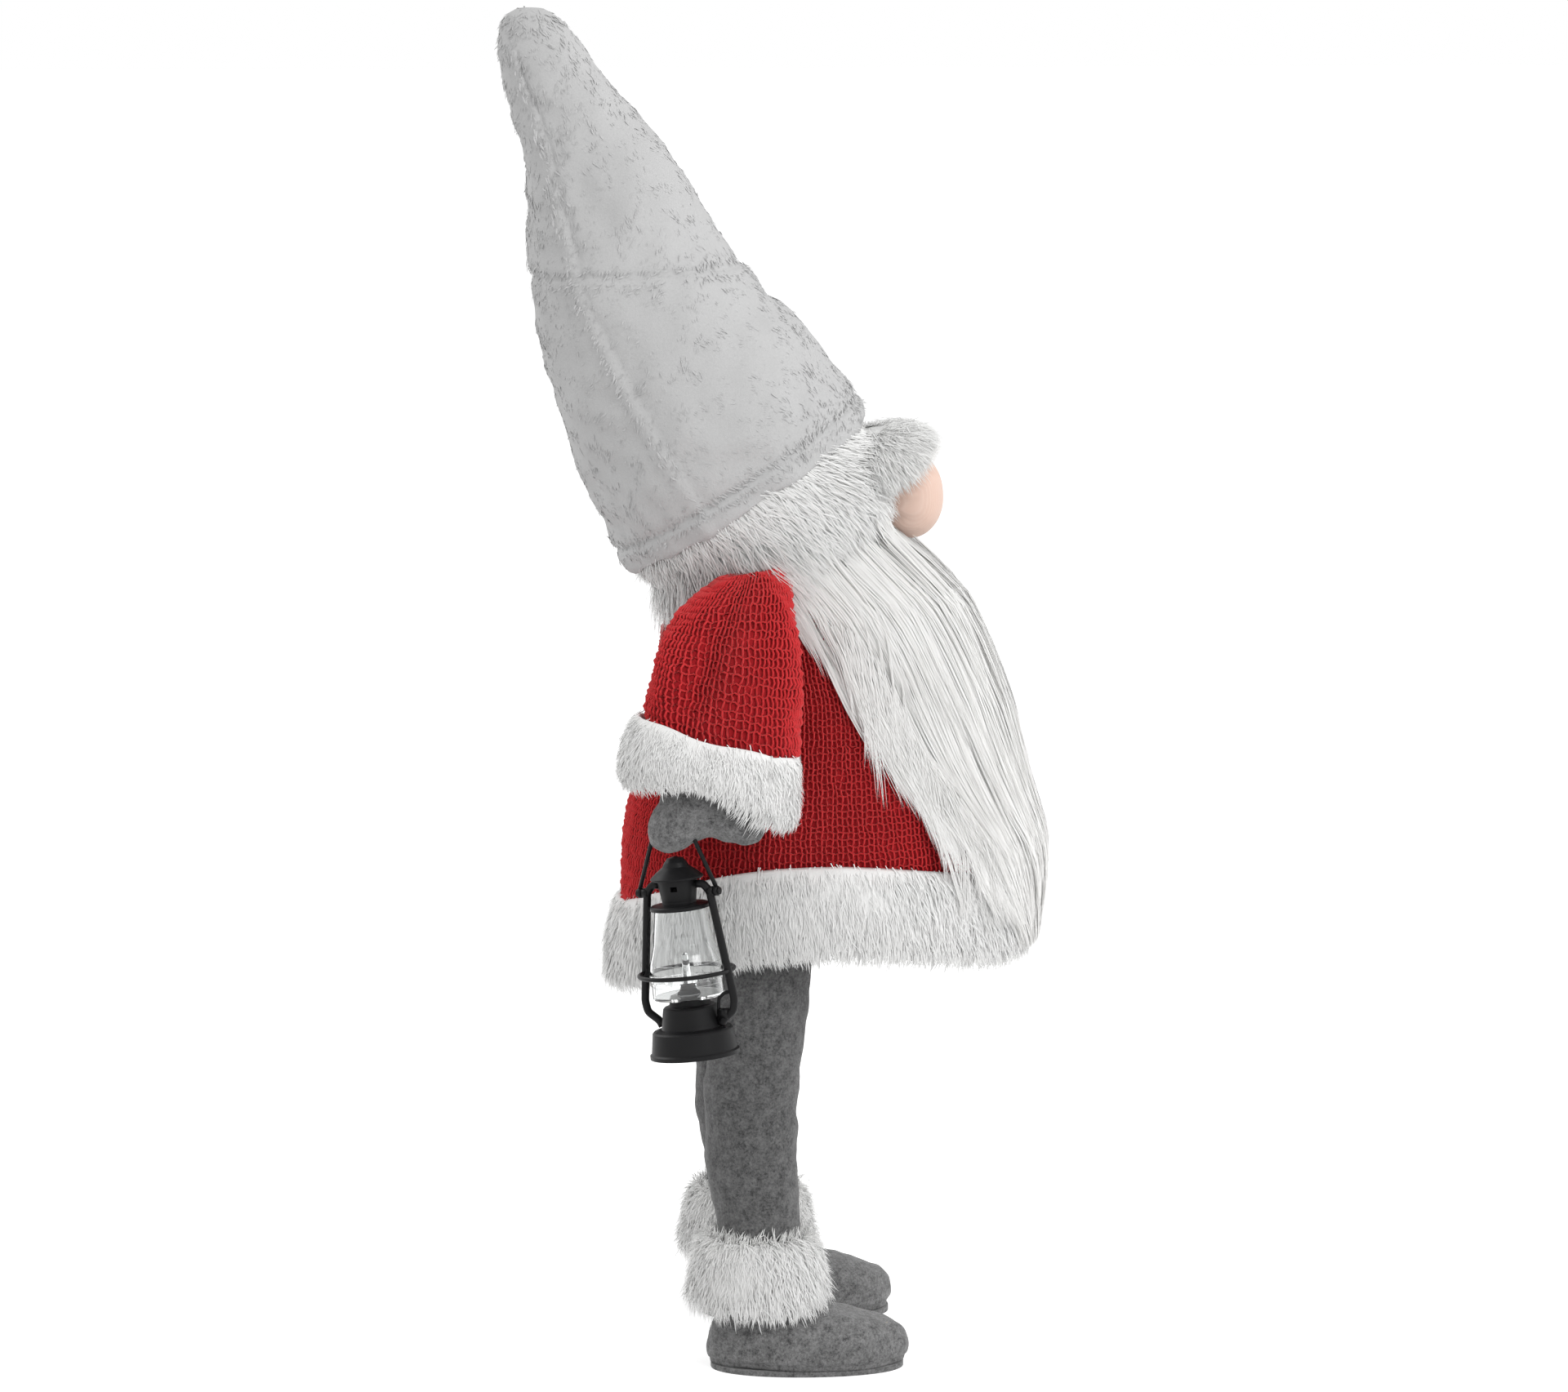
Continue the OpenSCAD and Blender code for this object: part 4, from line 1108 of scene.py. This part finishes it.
clear_plastic, n, shader = new_material("clear_plastic")
n.fill(shader, Base_Color=(0.97, 0.98, 0.98), Transmission_Weight=1, IOR=1.45,
       Roughness=n.scaled(n.noise(70, 3, 0.6), 0.05, 0.01))
for node in ("globe", "led_lamp"):
    refinish(node, clear_plastic)

foot = np.array([-150, 57.2, 212]) * MM
leaning = turning((0, 0, 1), -30) @ turning((1, 0, 0), -6.5)


def bent(corners, bend, steps=7):
    """A wire's line through corners, each rounded by the curve a(1-s)^2 + 2bs(1-s) + cs^2."""
    corners = np.asarray(corners, float)
    s = np.linspace(0, 1, steps)[:, None]
    line = [corners[:1]]
    for before, corner, after in zip(corners, corners[1:], corners[2:]):
        a = corner + unit(before - corner) * bend
        c = corner + unit(after - corner) * bend
        line.append(a * (1 - s) ** 2 + 2 * corner * s * (1 - s) + c * s**2)
    return np.concatenate([*line, corners[-1:]])


def rod_mesh(line, radius, sides=16, loop=False):
    """Points and faces of a round rod along a line in the plane x = 0, or round a level hoop."""
    tangent = np.roll(line, -1, 0) - np.roll(line, 1, 0) if loop else np.gradient(line, axis=0)
    tangent = unit(tangent)
    first = np.array([0, 0, 1.0]) if loop else np.array([1.0, 0, 0])
    second = np.cross(tangent, first)
    angle = 2 * np.pi * np.arange(sides)[:, None] / sides
    if not loop:
        line = np.concatenate([line[:1], line, line[-1:]])
        second = np.concatenate([second[:1], second, second[-1:]])
        radius = np.concatenate([[0.01], np.full(len(line) - 2, radius), [0.01]])[:, None, None]
    tube = line[:, None] + radius * (np.cos(angle) * second[:, None] + np.sin(angle) * first)
    return tube.reshape(-1, 3), grid_faces(len(line), sides, loop)


def peg(places, z, radius, way=1):
    """A straight rod along y, through three places."""
    return rod_mesh(np.array([[0, way * y, z] for y in places]), radius)


def lantern_part(name, rods, node, body):
    """Joins several rods into one black piece that stands for a CAD node.

    The rods are in the lantern's own frame, in millimetres with its foot at the origin.
    """
    starts = np.cumsum([0] + [len(points) for points, _ in rods])
    faces = np.concatenate([quads + start for (_, quads), start in zip(rods, starts)])
    points = np.concatenate([points for points, _ in rods]) * MM @ leaning.T + foot
    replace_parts(piece(name, points, [faces], black_plastic, body, "black_plastic"), node)


side_tube = np.array([[0, 12.5, 102.6], [0, 17, 102.6], [0, 21, 98], [0, 30, 33], [0, 28.8, 26.5],
                      [0, 21.4, 21], [0, 20, 17.6]])
bail_side = np.array([[0, 0, 131], [0, 13.5, 131], [0, 25.6, 100.4]])
circle = 2 * np.pi * np.arange(72)[:, None] / 72
guard = np.concatenate([28.2 * np.cos(circle), 28.2 * np.sin(circle), 50 + 0 * circle], 1)
cage, bail = [rod_mesh(guard, 1.3, loop=True)], []
for way in (1, -1):
    cage.append(rod_mesh(bent(side_tube * (1, way, 1), 2.2), 2.4))
    cage.append(peg((20, 21.85, 23.7), 98, 2.9, way))
    cage.append(peg((23, 25.25, 27.5), 98, 1.25, way))
    cage.append(peg((27, 27.45, 27.9), 98, 2.2, way))
    bail.append(rod_mesh(bent(bail_side * (1, way, 1), 3.5), 1.3))
    bail.append(peg((24.5, 25.6, 26.7), 98, 3.0, way))
lever = [[0, -29.4, 38], [0, -24, 37], [0, -20, 34], [0, -18.6, 26], [0, -18.6, 18]]
cage.append(rod_mesh(bent(lever, 1.6), 1.1))
cage.append(peg((-25.5, -23, -19.5), 24.5, 3.4))
lantern_part("lantern_frame", cage, "lantern_cage", "lantern")
lantern_part("bail_wire", bail, "bail", "bail")

# ---- Inside the figure -----------------------------------------------
# What carries and fills the figure keeps the CAD's shapes: steel tubes and wires, a plywood
# seat board with plastic sockets, white stuffing, sacks of sand, and the lantern's electrics.
def inner_material(name, dark, light, scale, roughness, metallic=0.0, stretch=(1, 1, 1)):
    """A plain working material, mottled between two colours; stretch draws the grain out."""
    material, n, shader = new_material(name)
    laid = n.fill(n.add("Mapping"), Scale=stretch, Vector=n.add("TexCoord").outputs["Object"])
    mottle = n.noise(scale, 4, 0.6, laid.outputs["Vector"])
    n.fill(shader, Base_Color=n.blend(mottle, dark, light), Roughness=roughness, Metallic=metallic)
    return material


steel = inner_material("steel", (0.38, 0.38, 0.40), (0.55, 0.55, 0.56), 300, 0.35, 1.0, (1, 1, 0.1))
plywood = inner_material("plywood", (0.42, 0.27, 0.13), (0.62, 0.44, 0.25), 60, 0.7, 0.0, (8, 1, 1))
socket_plastic = inner_material("socket_plastic", (0.012, 0.012, 0.013), (0.03, 0.03, 0.03), 200, 0.5)
sand_sack = inner_material("sand_sack", (0.40, 0.34, 0.24), (0.58, 0.51, 0.40), 500, 0.95)
brass = inner_material("brass", (0.62, 0.45, 0.18), (0.80, 0.60, 0.28), 250, 0.3, 1.0)
cell_steel = inner_material("cell_steel", (0.60, 0.60, 0.60), (0.74, 0.74, 0.74), 400, 0.25, 1.0)
board_green = inner_material("board_green", (0.01, 0.10, 0.03), (0.02, 0.18, 0.06), 300, 0.5)
wire_z = np.linspace(598, 762, 60)
wire_y = np.interp(wire_z, (598, 669, 762), (52, 87, 128))
points, faces = rod_mesh(np.stack([0 * wire_z, wire_y, wire_z], -1), 1.5)
wire = over_the_bend(piece("hat_bending_wire", points * MM, [faces], steel, None, "steel"))
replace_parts(wire, "hat_wire")
inside = {
    steel: ("leg_tube_right", "leg_tube_left", "arm_wire_right", "arm_wire_left", "hip_screws"),
    plywood: ("seat_board",),
    socket_plastic: ("foot_socket_right", "foot_socket_left", "hip_socket_right", "hip_socket_left"),
    stuffing: ("leg_padding_right", "leg_padding_left", "body_filling", "head_filling"),
    sand_sack: ("ballast_bag_right", "ballast_bag_left"),
    brass: ("battery_contacts",),
    cell_steel: ("coin_cell",),
    board_green: ("led_board",),
    leg_felt: ("base_panel",),
}
for material, names in inside.items():
    for node in names:
        refinish(node, material)
